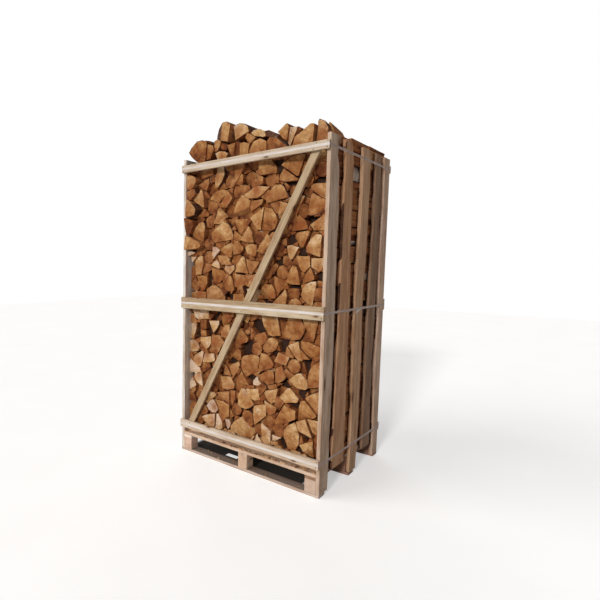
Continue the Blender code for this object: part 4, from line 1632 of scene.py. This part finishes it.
# Logs lower on the front, read off those parts: how many of the last sides are bark, tone, how yellow, and the
# outline clockwise, as points across and down in turn, in pixels of the enlarged part
FRONT_FACE = {
    UPPER_LEFT: (
        (0, 0.5, 0.4, [75, 140, 130, 170, 145, 230, 100, 330, 60, 360, 0, 350, 0, 150]),
        (0, 0.6, 0.5, [210, 85, 300, 20, 400, 10, 420, 130, 300, 180, 235, 190]),
        (3, 0.42, 0.5, [440, 335, 430, 290, 435, 190, 490, 10, 575, 0, 575, 120, 535, 230, 480, 310]),
        (0, 0.5, 0.3, [340, 180, 350, 260, 310, 375, 170, 290]),
        (0, 0.48, 0.4, [730, -60, 860, -80, 880, 10, 760, 240, 725, 200]),
        (0, 0.5, 0.7, [1100, -130, 1265, -110, 1335, 10, 1335, 102, 1115, 138, 1090, 110]),
        (0, 0.48, 0.3, [860, 430, 1010, 320, 1090, 292, 1255, 310, 1165, 410, 1075, 480, 925, 492]),
        (0, 0.5, 0.6, [975, 515, 1160, 495, 1140, 560, 960, 690, 940, 600]),
        (0, 0.48, 0.7, [830, 425, 960, 520, 928, 690, 850, 740, 700, 750, 715, 640, 765, 510]),
        (0, 0.55, 0.8, [318, 492, 440, 378, 530, 350, 600, 358, 600, 430, 500, 540, 440, 540]),
        (0, 0.52, 0.8, [610, 365, 665, 430, 690, 480, 640, 570, 590, 625, 550, 625, 510, 550]),
        (0, 0.45, 0.6, [475, 580, 600, 755, 520, 870, 410, 870]),
        (0, 0.7, 0.8, [685, 795, 925, 790, 880, 930, 800, 1025, 770, 1000]),
        (0, 0.3, 0.8, [1165, 612, 1110, 965, 1060, 945, 950, 775]),
        (0, 0.6, 0.8, [1178, 612, 1290, 640, 1350, 740, 1380, 830, 1340, 940, 1270, 975, 1135, 950]),
    ),
    UPPER_RIGHT: (
        (0, 0.52, 0.8, [760, 60, 655, 460, 620, 465, 350, 275, 380, 230, 560, 90]),
        (0, 0.58, 0.4, [395, 335, 640, 510, 635, 540, 430, 570, 310, 540, 330, 450]),
        (0, 0.5, 0.5, [890, 640, 930, 605, 1220, 575, 1220, 890, 1100, 870, 875, 700]),
        (3, 0.52, 0.6, [865, 800, 890, 750, 1220, 905, 1220, 1040, 1130, 1080, 1040, 1150, 900, 1180,
            800, 1172]),
    ),
    MIDDLE_LEFT: (
        (0, 0.03, 0, [400, 225, 450, 220, 515, 270, 400, 410, 385, 320]),
        (0, 0.14, 0.1, [455, 410, 500, 450, 515, 540, 490, 555, 380, 500]),
        (0, 0.45, 0.4, [470, 350, 600, 350, 660, 420, 560, 490, 520, 500, 480, 450]),
        (0, 0.42, 0.9, [650, 135, 680, 140, 685, 380, 640, 385, 525, 280, 525, 255]),
        (0, 0.45, 0.7, [710, 115, 780, 140, 860, 225, 855, 265, 800, 330, 700, 345]),
        (0, 0.45, 0.8, [945, -85, 985, 0, 990, 160, 900, 158, 815, 118]),
        (3, 0.42, 0.6, [960, 170, 1050, 190, 1055, 280, 1030, 372, 980, 368, 905, 315, 875, 230]),
        (0, 0.4, 0.5, [1225, 25, 1300, 150, 1200, 330, 1150, 335, 1060, 285, 1120, 170]),
        (0, 0.35, 0.7, [830, 360, 855, 375, 930, 630, 740, 600, 745, 500]),
        (0, 0.5, 0.4, [895, 410, 1110, 445, 1060, 530, 980, 630, 940, 620, 905, 520]),
        (0, 0.2, 0.1, [580, 510, 720, 495, 725, 560, 650, 640, 565, 555]),
        (0, 0.62, 1, [390, 530, 560, 580, 590, 640, 500, 760, 420, 790, 385, 640]),
        (0, 0.45, 0.5, [200, 355, 250, 360, 262, 480, 230, 640, 150, 640, 145, 420]),
        (0, 0.62, 1, [230, 650, 310, 665, 310, 760, 270, 870, 235, 880, 180, 780, 150, 660]),
        (0, 0.45, 0.3, [60, 905, 160, 885, 290, 900, 300, 1060, 60, 1060]),
        (3, 0.38, 0.4, [310, 1060, 304, 860, 380, 800, 440, 800, 520, 870, 575, 960, 580, 1060]),
        (0, 0.5, 0.8, [670, 650, 700, 720, 725, 860, 700, 890, 610, 890, 530, 820]),
        (0, 0.5, 0.5, [730, 625, 880, 650, 860, 780, 810, 870, 760, 880, 738, 760]),
        (0, 0.55, 0.6, [690, 930, 850, 920, 900, 1060, 680, 1060]),
        (0, 0.45, 0.8, [1180, 780, 1290, 790, 1330, 860, 1350, 960, 1340, 1000, 1180, 1010, 1090, 950,
            1075, 900]),
    ),
    MIDDLE_RIGHT: (
        (0, 0.5, 0.8, [540, 170, 600, 135, 850, 95, 865, 130, 740, 400, 640, 330, 560, 240]),
        (0, 0.3, 0.6, [960, 172, 1030, 160, 1075, 185, 1045, 580, 790, 485, 805, 370, 870, 250]),
        (0, 0.35, 0.4, [430, 375, 520, 355, 660, 400, 520, 625, 480, 620, 440, 500]),
        (0, 0.28, 0.6, [880, 600, 1150, 590, 1060, 800, 1000, 860, 875, 760]),
        (0, 0.5, 0.9, [615, 550, 855, 560, 865, 750, 740, 865, 690, 810, 645, 720]),
        (0, 0.6, 0.8, [870, 765, 940, 930, 940, 985, 690, 1075, 690, 985, 750, 870]),
        (0, 0.5, 0.8, [560, 720, 620, 760, 650, 850, 680, 1080, 520, 1075, 400, 1040, 430, 930, 490, 800]),
        (0, 0.64, 0.6, [200, 915, 330, 985, 385, 1040, 350, 1150, 265, 1300, 205, 1060]),
        (0, 0.4, 0.4, [410, 1160, 440, 1250, 430, 1480, 200, 1480, 190, 1400]),
        (0, 0.28, 0.5, [780, 1080, 860, 1020, 960, 1015, 965, 1080, 905, 1430, 880, 1480, 730, 1340,
            695, 1260, 722, 1160]),
    ),
    LOWER_LEFT: (
        (0, 0.5, 0.3, [140, 20, 410, 40, 440, 240, 240, 245, 180, 200]),
        (0, 0.48, 0.3, [660, 60, 900, 90, 890, 190, 850, 215, 740, 215, 685, 140]),
        (3, 0.5, 0.6, [452, 266, 640, 262, 640, 330, 600, 420, 530, 492]),
        (0, 0.45, 0.5, [100, 290, 170, 310, 215, 340, 200, 480, 160, 580, 60, 590, 60, 300]),
        (0, 0.55, 0.6, [290, 560, 480, 548, 470, 670, 430, 740, 380, 790, 340, 740, 280, 630]),
        (0, 0.62, 0.9, [70, 610, 190, 603, 240, 670, 270, 750, 240, 810, 60, 840]),
        (0, 0.55, 0.4, [510, 530, 640, 520, 720, 660, 650, 760, 490, 700]),
        (0, 0.5, 0.4, [740, 340, 830, 330, 830, 450, 760, 580, 655, 560, 652, 460]),
        (0, 0.5, 0.5, [270, 810, 340, 840, 330, 960, 300, 1080, 250, 1090, 190, 1020, 140, 890]),
        (0, 0.5, 0.4, [380, 850, 540, 860, 560, 980, 470, 1020, 340, 1000]),
        (0, 0.42, 0.2, [120, 940, 300, 1130, 320, 1200, 90, 1205, 80, 1100]),
        (0, 0.45, 0.6, [750, 1060, 820, 1180, 850, 1260, 640, 1235, 650, 1160]),
    ),
    LOWER_RIGHT: (
        (0, 0.5, 0.8, [530, 30, 775, 30, 822, 360, 700, 372, 640, 345, 575, 215]),
        (4, 0.5, 0.6, [950, 60, 1110, 60, 1195, 235, 1170, 340, 1120, 415, 1010, 435, 900, 385, 868, 340]),
        (0, 0.45, 0.4, [1150, 60, 1400, 70, 1395, 160, 1340, 420, 1195, 225]),
        (2, 0.6, 0.9, [1130, 440, 1240, 455, 1450, 550, 1450, 630, 1290, 700, 1205, 640, 1135, 545]),
        (0, 0.32, 0.5, [930, 510, 1090, 440, 1155, 740, 1095, 752, 1010, 645]),
        (0, 0.42, 0.4, [800, 602, 965, 680, 912, 808, 735, 745]),
        (0, 0.5, 0.4, [640, 400, 700, 385, 770, 420, 795, 465, 760, 560, 690, 610, 610, 615, 560, 560,
            590, 470]),
        (0, 0.74, 0.5, [590, 300, 635, 398, 585, 470, 535, 512, 430, 388, 480, 330]),
        (0, 0.64, 0.6, [195, 260, 250, 240, 345, 390, 330, 450, 230, 485, 160, 465, 150, 400]),
        (6, 0.7, 0.3, [340, 245, 385, 275, 388, 322, 350, 345, 300, 325, 290, 280]),
        (0, 0.42, 0.5, [205, 740, 225, 780, 205, 860, 135, 975, 100, 940, 75, 850, 80, 790]),
        (0, 0.48, 0.5, [280, 660, 380, 640, 470, 660, 500, 700, 465, 900, 310, 975, 250, 870, 240, 700]),
        (0, 0.58, 0.5, [540, 610, 650, 640, 735, 780, 700, 850, 515, 905, 505, 860]),
        (0, 0.62, 0.5, [640, 865, 715, 890, 730, 960, 730, 1080, 640, 1095, 575, 1045, 490, 955]),
        (0, 0.04, 0.2, [440, 955, 470, 970, 550, 1075, 500, 1105, 420, 1095, 365, 1050]),
        (3, 0.5, 0.4, [742, 840, 830, 815, 920, 985, 860, 1040, 800, 1068, 745, 1060]),
        (3, 0.4, 0.6, [1070, 925, 1140, 920, 1235, 1030, 1235, 1150, 1190, 1178, 1080, 1160, 1000, 1100,
            940, 1030]),
        (3, 0.55, 0.5, [1450, 1140, 1247, 1145, 1240, 1000, 1257, 900, 1300, 815, 1450, 700]),
        (0, 0.5, 0.5, [240, 880, 365, 1095, 170, 1060]),
    ),
    BOTTOM_LEFT: (
        (0, 0.1, 0.5, [180, -38, 310, -40, 340, 190, 320, 200, 230, 130, 175, 60]),
        (0, 0.48, 0.4, [110, 20, 195, 120, 220, 190, 50, 280, 60, 120]),
        (0, 0.52, 0.5, [660, 20, 830, 30, 900, 180, 880, 260, 760, 270, 670, 230]),
        (0, 0.62, 0.3, [590, 310, 900, 280, 905, 420, 870, 540, 630, 370]),
        (0, 0.7, 0.8, [470, 290, 560, 310, 590, 370, 400, 520, 380, 460]),
        (0, 0.05, 0, [490, 430, 540, 440, 600, 560, 615, 620, 560, 680, 490, 675, 430, 630, 385, 550]),
        (0, 0.52, 0.8, [560, 440, 700, 470, 820, 540, 810, 760, 740, 770, 660, 690, 612, 600]),
        (3, 0.15, 0.2, [400, 710, 560, 695, 558, 900, 540, 930, 470, 905, 380, 835, 325, 745]),
        (0, 0.12, 0.1, [590, 690, 620, 700, 690, 850, 690, 960, 640, 985, 562, 940]),
        (0, 0.02, 0, [760, 790, 810, 810, 830, 880, 810, 950, 760, 990, 710, 970, 700, 900, 710, 820]),
    ),
    BOTTOM_RIGHT: (
        (4, 0.42, 0.8, [190, 100, 230, 10, 305, 10, 440, 250, 380, 300, 310, 325, 240, 300, 185, 260]),
        (0, 0.52, 0.6, [320, 10, 490, 10, 522, 190, 440, 190, 358, 140]),
        (0, 0.45, 0.4, [600, 40, 785, 15, 750, 210, 690, 240, 625, 180, 575, 70]),
        (0, 0.38, 0.7, [930, 5, 975, 10, 1108, 170, 1080, 225, 900, 225, 808, 140]),
        (2, 0.45, 0.5, [1420, 430, 1370, 400, 1205, 170, 1210, 130, 1330, 75, 1440, 55]),
        (0, 0.55, 0.9, [1195, 185, 1365, 408, 1370, 440, 1310, 470, 1210, 440, 1115, 370, 1105, 290,
            1140, 200]),
        (0, 0.68, 0.7, [870, 255, 1057, 345, 1050, 480, 870, 545, 730, 555, 722, 490]),
        (2, 0.52, 0.5, [1110, 720, 1100, 850, 1035, 945, 925, 930, 862, 740, 870, 640, 930, 560, 1050, 510]),
        (0, 0.42, 0.4, [1065, 510, 1200, 465, 1300, 770, 1090, 640]),
        (0, 0.45, 0.4, [1222, 465, 1440, 520, 1440, 640, 1350, 730, 1295, 680]),
        (0, 0.55, 0.9, [1115, 850, 1320, 800, 1305, 1065, 1260, 1040, 1170, 950]),
        (0, 0.42, 0.5, [550, 520, 690, 648, 680, 870, 600, 870, 545, 720, 540, 570]),
        (2, 0.52, 0.6, [80, 570, 150, 490, 250, 430, 410, 640, 420, 690, 350, 760, 225, 730, 80, 630]),
        (0, 0.5, 0.4, [430, 265, 560, 250, 614, 262, 610, 420, 440, 555, 415, 400]),
        (0, 0.45, 0.4, [575, 175, 770, 300, 740, 380, 625, 430]),
        (0, 0.6, 0.3, [0, 30, 150, 40, 150, 180, 100, 265, 0, 180]),
        (0, 0.15, 0.2, [700, 700, 830, 755, 745, 800, 690, 790]),
    ),
    WHOLE: (
        (2, 0.52, 0.6, [266.4, 203.5, 266.5, 199, 273.4, 183, 279.8, 183.3, 284.2, 186.7, 288.7, 197]),
        (0, 0.4, 0.6, [280.6, 201.4, 288, 203, 284, 219, 279.2, 220, 278.1, 213.9]),
        (3, 0.45, 0.6, [233, 239.5, 215, 243, 211.5, 240, 211, 232, 222.5, 220.5, 228, 223.5, 231.5, 229,
            233.5, 235]),
        (0, 0.6, 0.6, [298.4, 213.9, 304.8, 220, 308.6, 227.5, 308, 229.3, 290.5, 231.8, 290.5, 229,
            294, 221]),
        (0, 0.5, 0.6, [322.5, 214.5, 328, 213, 328, 229.5, 313, 230.5, 309.2, 224.8]),
    ),
}
# Hollows between them, in the same form. The logs set deep in them get the darkest tone and near black ends, as
# painted shade.
HOLLOWS = {
    UPPER_RIGHT: (
        [185, 175, 330, 150, 370, 170, 320, 420, 250, 400],
        [420, 590, 620, 560, 600, 620, 470, 640],
        [790, 1210, 1060, 1190, 970, 1300, 850, 1340],
        [950, 510, 1200, 450, 1200, 540, 1050, 590, 930, 585],
    ),
    MIDDLE_LEFT: (
        [315, 600, 360, 575, 380, 660, 385, 770, 305, 870],
        [600, 930, 650, 910, 685, 990, 640, 1010, 605, 990],
    ),
    MIDDLE_RIGHT: (
        [480, 150, 520, 160, 600, 290, 520, 350, 440, 355, 430, 300],
        [205, 625, 325, 625, 320, 730, 270, 740],
        [950, 880, 1100, 850, 1110, 960, 1080, 1020, 970, 1000],
        [440, 1095, 690, 1110, 680, 1140, 470, 1140],
        [20, 1360, 170, 1380, 160, 1415, 60, 1400],
        [690, 410, 755, 430, 780, 480, 780, 540, 620, 540],
    ),
    LOWER_LEFT: (
        [225, 290, 290, 300, 300, 500, 290, 545, 190, 590],
        [400, 290, 450, 300, 510, 500, 400, 530],
        [565, 110, 625, 120, 560, 220, 480, 250, 480, 225],
    ),
    LOWER_RIGHT: (
        [470, 100, 525, 110, 590, 270, 580, 300, 480, 320, 400, 230, 420, 130],
        [345, 430, 395, 440, 375, 640, 240, 665, 232, 510],
        [95, 660, 200, 735, 130, 780, 30, 770, 60, 700],
        [800, 400, 1050, 450, 1000, 640, 965, 670, 815, 600, 790, 500],
        [740, 575, 810, 602, 742, 690, 680, 640],
        [1150, 760, 1160, 715, 1300, 720, 1215, 980],
        [310, 985, 395, 930, 425, 950, 365, 1040],
        [850, 1075, 905, 1040, 950, 1110, 900, 1160, 830, 1130],
    ),
    BOTTOM_LEFT: (
        [400, 708, 440, 645, 490, 690, 430, 712],
        [815, 790, 900, 740, 880, 860, 842, 900],
    ),
    BOTTOM_RIGHT: (
        [1085, 50, 1235, 60, 1150, 180, 1112, 160, 1068, 105],
        [905, 232, 1095, 232, 1095, 300, 1010, 315],
        [1120, 672, 1270, 765, 1250, 790, 1160, 800],
        [1105, 870, 1160, 970, 1130, 1000, 1025, 965],
        [790, 800, 850, 765, 890, 860, 900, 930, 800, 880],
    ),
}
# How far the front's logs stand back, those that touch its left post, and the ones in the hollows
FACE_SET_BACK = 0.020
HOLLOW_SET_BACK = 0.040
LEFT_TOUCH = -0.562
LEFT_SET_BACKS = ((1.22, 0.034), (1.60, 0.045), (9.0, -0.015))
# Logs up to this tone are nearly white. Those left of and below this X and height are paler than they are
# read.
WHITE_TONE = 0.2
PALE_CORNER = (-0.28, 1.17)
PALER = 0.34
# The lowest logs, behind the gap under the bottom rail, are paler too: below which height, and by what share
PALE_BELOW = 0.27
PALE_SHARE = 0.6
# By how much tones and set-backs of the logs that were read off vary, and how far their hearts are from the
# middle
TONE_DRIFT = 0.13
SET_BACK_DRIFT = 0.006
HEART_REACH = 0.08
# How yellow most top logs are, and how white the ends that are all bark
TOP_HUE = 0.7
BARK_FACE_WHITE = 0.45

# The rows' solids have only their top outline above this height
CREST_ABOVE = 2.31
# The usual tone and its spread, the share of logs with white bark, and how red hearts are at most
TONES = (0.48, 0.2)
WHITE_SHARE = 0.09
MOST_RED = 0.8
# Ends broken off aslant: the share of the logs read off that may have one, the share of all of those that
# do, the slopes, how far from the middle the crease runs, as a share of the way to the edge, and the most
# that is missing
SLANTED_SHARE = 0.5
BROKEN_SHARE = 0.68
BREAK_SLOPES = (0.15, 1.2)
BREAK_REACHES = (-0.15, 0.6)
BREAK_DEPTH = 0.045
# Steep breaks that show split wood: past which slope, and in what share of cases
STEEP = 0.45
STEEP_SHARE = 0.6
# How far ends stand back at most, how that is spread, and the same for splits deep in gaps and how much darker
# they are painted, as painted shade in the gaps
SET_BACK = 0.074
SET_BACK_SPREAD = (1.2, 2.3)
DEEP_SET_BACKS = (0.015, 0.060)
DEEP_TONES = (0.55, 0.45)
# Past this X the rear row's logs stand back only by this share
REAR_EDGE = 0.50
REAR_EDGE_SHARE = 0.1
# At most how much shorter than the row a log is and how far it tapers, and how far its ends tilt
MOST_SHORTER = 0.016
MOST_TAPER = 0.04
TILT = 0.055
# How thick bark is, and how far a log's rear end leans to the side and up
CRUSTS = (0.002, 0.0045)
LEANS = (0.002, 0.001)
# How many upright columns each row is split into
COLUMNS = {"front": 8, "middle": 3, "rear": 5}


def crest_line(name):
    """The top outline of a row's solid, as a function of X."""
    tops = [vertex.co for vertex in bpy.data.objects[name].data.vertices if vertex.co.z > CREST_ABOVE]
    across, heights = zip(*sorted({(round(top.x, 4), round(top.z, 4)) for top in tops}))
    return lambda x: np.interp(x, across, heights)


def log_look(rng):
    """A log's tone, how red its heart is, and how white its bark is."""
    tone = float(np.clip(rng.normal(*TONES), 0.0, 1.0))
    white = 1.0 if rng.uniform() < WHITE_SHARE else float(rng.uniform(0.0, 0.3))
    return (tone, float(rng.uniform(0, MOST_RED)), white)


def slanted_off(outline, rng):
    """Where and how steeply an end is broken off: a direction, the crease's reach and the slope."""
    if rng.uniform() > BROKEN_SHARE:
        return None
    direction = pointing(rng.uniform(0, FULL_TURN))
    most = float(((outline - outline.mean(0)) @ direction).max())
    slope = float(rng.uniform(*BREAK_SLOPES))
    reach = float(rng.uniform(*BREAK_REACHES)) * most
    return (direction, max(reach, most - BREAK_DEPTH / slope), slope)


def as_seen(outline, depths):
    """An outline measured on the crest plane, pushed along the camera's line of sight to other depths."""
    eye = np.array((CAMERA_PLACE[0], CAMERA_PLACE[2]))
    scale = (depths - CAMERA_PLACE[1]) / (CREST_PLANE - CAMERA_PLACE[1])
    return eye + (outline - eye) * scale[:, None]


def on_crest_plane(part, readings):
    """Readings off an enlarged part of the photograph as X and height on the crest plane, anticlockwise."""
    across, down, enlarged = part
    right, up, ahead = (np.array(axis) for axis in camera_axes())
    readings = np.array(readings, dtype=float).reshape(-1, 2)[::-1] / enlarged
    to_right = (across + readings[:, 0] - PHOTO_SIZE / 2) / PHOTO_SIZE + CAMERA_SHIFT[0]
    upwards = (PHOTO_SIZE / 2 - down - readings[:, 1]) / PHOTO_SIZE + CAMERA_SHIFT[1]
    sight = ahead * CAMERA_LENS / SENSOR_WIDTH + np.outer(to_right, right) + np.outer(upwards, up)
    reach = (CREST_PLANE - CAMERA_PLACE[1]) / sight[:, 1]
    return np.stack((CAMERA_PLACE[0] + reach * sight[:, 0], CAMERA_PLACE[2] + reach * sight[:, 2]), 1)


def chosen_logs(table, front):
    """The front row's logs that are shaped after the photograph."""
    logs = []
    for label, bark_sides, set_back, tone, outline in table:
        outline = np.array(outline)
        depths = np.full(len(outline), front + set_back)
        crease = None
        if label in NOSES:
            angle, reach, slope = NOSES[label]
            crease = (pointing(angle), reach, slope)
            depths = depths + slope * np.maximum((outline - outline.mean(0)) @ crease[0] - reach, 0)
        outline = as_seen(outline, depths)
        bark = np.arange(len(outline)) < bark_sides
        heart = outline.mean(0) * 2 - outline[:max(bark_sides, 1)].mean(0)
        logs.append({
            "outline": outline, "bark": bark, "heart": heart, "set_back": set_back, "tone": tone,
            "crease": crease, "nose": BARK, "face": BARK if label in BARK_FACES else SAWN,
            "lean": (0.0, -DROPS.get(label, 0.0)), "white": BARK_FACE_WHITE * float(label in BARK_FACES),
            "lip": set_back < 0, "hue": YELLOWED.get(label, TOP_HUE),
        })
    return logs


def left_set_back(height):
    """How far a log stands back that touches the front's left post."""
    return next(set_back for top, set_back in LEFT_SET_BACKS if height < top)


def face_logs(front, floor_level, rng):
    """The front's logs and hollows below the top ones, after the photograph, each within the row's walls."""
    entries = []
    for part, readings in FRONT_FACE.items():
        entries += [(0.0, on_crest_plane(part, outline), look) for *look, outline in readings]
    for part, readings in HOLLOWS.items():
        # The hollows' logs get the darkest tone, as painted shade
        entries += [(HOLLOW_SET_BACK, on_crest_plane(part, outline), (0, 1.0, 0.0)) for outline in readings]
    entries.sort(key=lambda entry: (entry[0], -entry[1][:, 1].mean()))
    logs = []
    for deeper, outline, (bark_sides, tone, hue) in entries:
        middle = outline.mean(0)
        if tone > WHITE_TONE:
            paler = PALER * (middle < PALE_CORNER).all()
            tone = float(np.clip(tone - paler + rng.uniform(-TONE_DRIFT, TONE_DRIFT), 0.0, 1.0))
        set_back = FACE_SET_BACK
        if outline[:, 0].min() < LEFT_TOUCH + 0.01:
            set_back = left_set_back(middle[1])
        outline = as_seen(outline, np.full(len(outline), front + set_back))
        bark = np.arange(len(outline)) < bark_sides
        heart = outline.mean(0) * 2 - outline[:bark_sides].mean(0) if bark_sides else None
        for direction, reach in ((0.0, ROW_REACH), (math.pi, ROW_REACH), (-math.pi / 2, -floor_level)):
            outline, bark = split_off(outline, bark, direction, reach - LOG_SLACK)
        if heart is None:
            way = pointing(rng.uniform(0, FULL_TURN))
            heart = outline.mean(0) + rng.uniform(0.0, HEART_REACH) * way
        logs.append({
            "outline": outline, "bark": bark, "heart": heart, "tone": tone, "hue": hue, "crease": None,
            "set_back": set_back + deeper + float(rng.uniform(-SET_BACK_DRIFT, SET_BACK_DRIFT)),
            # A hollow's log has a near black bark end, as painted shade
            "white": -1.0 if deeper else 0.0, "hollow": deeper > 0, "face": BARK if deeper else SAWN,
        })
    return logs


def row_logs(row, rng):
    """All the logs of one row."""
    name = f"firewood_row_{row}"
    low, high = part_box(name)
    width = 2 * ROW_REACH
    corner = np.array((-ROW_REACH, low.z))
    crest = crest_line(name)
    line = lambda x: crest(x - ROW_REACH) - low.z
    ceiling = line
    chosen = []
    if row == "front":
        ceiling = lambda x: np.full(np.shape(x), FRONT_LEVEL - low.z)
        chosen = chosen_logs(FRONT_TOP + FRONT_LEFT, low.y)
        face = face_logs(low.y, low.z, rng)
        logs = eased([log for log in face if not log["hollow"]], chosen)
        for log in logs:
            if rng.uniform() < SLANTED_SHARE:
                log["crease"] = slanted_off(log["outline"], rng)
        chosen += logs
        chosen += eased([log for log in face if log["hollow"]], chosen)
    fixed = [log["outline"] - corner for log in chosen]
    logs = [log for log in stack(rng, width, ceiling) if all(apart(log["outline"], other) for other in fixed)]
    swell(logs, rng, width, line, fixed, 1)
    fill_gaps(logs, fixed, rng, width, ceiling)
    swell(logs, rng, width, line, fixed, 2)
    for log in logs:
        log["outline"] = log["outline"] + corner
        log["heart"] = log["heart"] + corner
        log["crease"] = None if "deep" in log else slanted_off(log["outline"], rng)
        steep = log["crease"] and log["crease"][2] > STEEP
        log["nose"] = SPLIT if steep and rng.uniform() < STEEP_SHARE else SAWN
        log["set_back"] = SET_BACK * float(rng.beta(*SET_BACK_SPREAD))
        if "deep" in log:
            log["set_back"] = float(rng.uniform(*DEEP_SET_BACKS))
    for log in logs + chosen:
        finish_log(log, row, low, high, rng)
    return logs + chosen


def finish_log(log, row, low, high, rng):
    """Give a log its tone, its two ends and its slight lean."""
    middle = log["outline"].mean(0)
    left, right = log["outline"][:, 0].min(), log["outline"][:, 0].max()
    tone, red, white = log_look(rng)
    hue = float(rng.uniform() ** 1.5)
    # Painted shade: splits deep in the gaps get darker tones
    if "deep" in log:
        tone = DEEP_TONES[0] + DEEP_TONES[1] * tone
    if row == "front" and middle[1] < PALE_BELOW:
        log["tone"] = PALE_SHARE * log.get("tone", tone)
    if row == "front" and left < LEFT_TOUCH and "tone" not in log:
        log["set_back"] = left_set_back(middle[1])
    if row == "rear" and (left < -REAR_EDGE or right > REAR_EDGE):
        log["set_back"] *= REAR_EDGE_SHARE
    log["look"] = (log.get("tone", tone), red, log.get("white", white))
    log.setdefault("hue", hue)
    shorter = float(rng.uniform(0.0, MOST_SHORTER))
    log["broken_back"] = row == "rear"
    at_front, at_back = (shorter, log["set_back"]) if row == "rear" else (log["set_back"], shorter)
    log["front"] = low.y + at_front
    log["back"] = high.y - at_back
    log["taper"] = float(rng.uniform(0.0, MOST_TAPER))
    log["tilts"] = rng.normal(0, TILT, (2, 2))
    log["crust"] = float(rng.uniform(*CRUSTS))
    log.setdefault("lean", tuple(float(rng.normal(0, spread)) for spread in LEANS))
    log.setdefault("nose", SAWN)
    log.setdefault("face", SAWN)
    log.setdefault("lip", False)
    if log["lip"]:
        log["tilts"] *= 0.0
        log["taper"] = 0.0


def firewood():
    """The rows as upright columns of logs, each column one mesh."""
    finishes = (sawn_end(), split_side(), birch_bark())
    for place, (row, columns) in enumerate(COLUMNS.items()):
        rng = np.random.default_rng(SEEDS["logs"] + place)
        logs = row_logs(row, rng)
        logs.sort(key=lambda log: log["outline"][:, 0].mean())
        share = math.ceil(len(logs) / columns)
        for column in range(columns):
            pile = Pile()
            for log in logs[column * share:(column + 1) * share]:
                pile.add(log, rng)
            piece = pile.piece(f"logs_{row}_{column + 1}", finishes)
            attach(piece, "root")
            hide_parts(f"firewood_row_{row}")


# Floor, light and camera

def floor():
    """A pale studio floor that glows a little towards the eye, with a painted shadow under the pallet and a
    patch of painted light in it.
    """
    mesh = bpy.data.meshes.new("floor")
    corners = [(x * FLOOR_REACH, y * FLOOR_REACH, 0) for x, y in ((-1, -1), (1, -1), (1, 1), (-1, 1))]
    mesh.from_pydata(corners, [], [(0, 1, 2, 3)])
    finish = Finish("pale floor", 0.9, 0.1)
    across, deep, _ = finish.parts(finish.place)
    # Painted shadow: under the pallet the floor is near black and doesn't glow, except in the patch of painted
    # light
    unshadowed_floor = finish.span(finish.box_distance(across, deep, PAINTED_SHADOW_FLOOR), -PAINTED_SHADOW_EDGE, 0.0)
    lit = finish.span(finish.box_distance(across, deep, PAINTED_LIGHT_FLOOR), -PAINTED_LIGHT_EDGE, 0.0, 1.0, 0.0)
    unshadowed_floor = finish.sum("MAXIMUM", unshadowed_floor, lit)
    tint = finish.noise(finish.place, 1.5, 3.0)
    pale = finish.ramp(tint, (0.3, (0.80, 0.80, 0.80)), (0.7, (0.84, 0.84, 0.84)))
    colour = finish.mixed(unshadowed_floor, (0.05, 0.045, 0.04), pale)
    to_eye = finish.add("ShaderNodeLightPath").outputs["Is Camera Ray"]
    glow = finish.times(finish.times(to_eye, FLOOR_GLOW), unshadowed_floor)
    finish.shader.inputs["Emission Color"].default_value = (1.0, 1.0, 1.0, 1.0)
    finish.feed(finish.shader.inputs["Emission Strength"], glow)
    mesh.materials.append(finish.done(colour))
    piece = placed("floor", mesh)


def soft_lamp(name, towards, strength, softness, colour):
    data = bpy.data.lights.new(name, "SUN")
    data.energy = strength
    data.angle = math.radians(softness)
    data.color = colour
    placed(name, data).rotation_euler = Vector(towards).to_track_quat("Z", "Y").to_euler()


def light():
    """Two soft lamps from the front, one from the back, and a pale sky, which looks white to the camera."""
    for name, settings in LAMPS.items():
        soft_lamp(name, *settings)
    world = bpy.data.worlds.new("sky")
    world.use_nodes = True
    tree = world.node_tree
    sky = tree.nodes["Background"]
    sky.inputs["Color"].default_value = (*SKY_COLOUR, 1.0)
    sky.inputs["Strength"].default_value = SKY_STRENGTH
    plain = tree.nodes.new("ShaderNodeBackground")
    plain.inputs["Color"].default_value = (1.0, 1.0, 1.0, 1.0)
    path = tree.nodes.new("ShaderNodeLightPath")
    mix = tree.nodes.new("ShaderNodeMixShader")
    tree.links.new(path.outputs["Is Camera Ray"], mix.inputs[0])
    tree.links.new(sky.outputs[0], mix.inputs[1])
    tree.links.new(plain.outputs[0], mix.inputs[2])
    tree.links.new(mix.outputs[0], tree.nodes["World Output"].inputs["Surface"])
    bpy.context.scene.world = world


def camera_axes():
    """The camera's directions to the right, upwards and ahead."""
    yaw, down, roll = (math.radians(value) for value in (CAMERA_YAW, CAMERA_DOWN, CAMERA_ROLL))
    ahead = Vector((-math.sin(yaw) * math.cos(down), math.cos(yaw) * math.cos(down), -math.sin(down)))
    level = Vector((math.cos(yaw), math.sin(yaw), 0.0))
    upright = level.cross(ahead)
    right = level * math.cos(roll) + upright * math.sin(roll)
    up = upright * math.cos(roll) - level * math.sin(roll)
    return right, up, ahead


def camera():
    right, up, ahead = camera_axes()
    data = bpy.data.cameras.new("camera")
    data.lens = CAMERA_LENS
    data.sensor_width = SENSOR_WIDTH
    data.shift_x, data.shift_y = CAMERA_SHIFT
    view = placed("camera", data)
    view.matrix_world = Matrix((right, up, -ahead)).transposed().to_4x4()
    view.location = CAMERA_PLACE
    bpy.context.scene.camera = view


camera()
light()
floor()
bpy.context.scene.view_settings.view_transform = "Standard"
flat_boards()
uprights()
nails()
chips()
bands()
firewood()
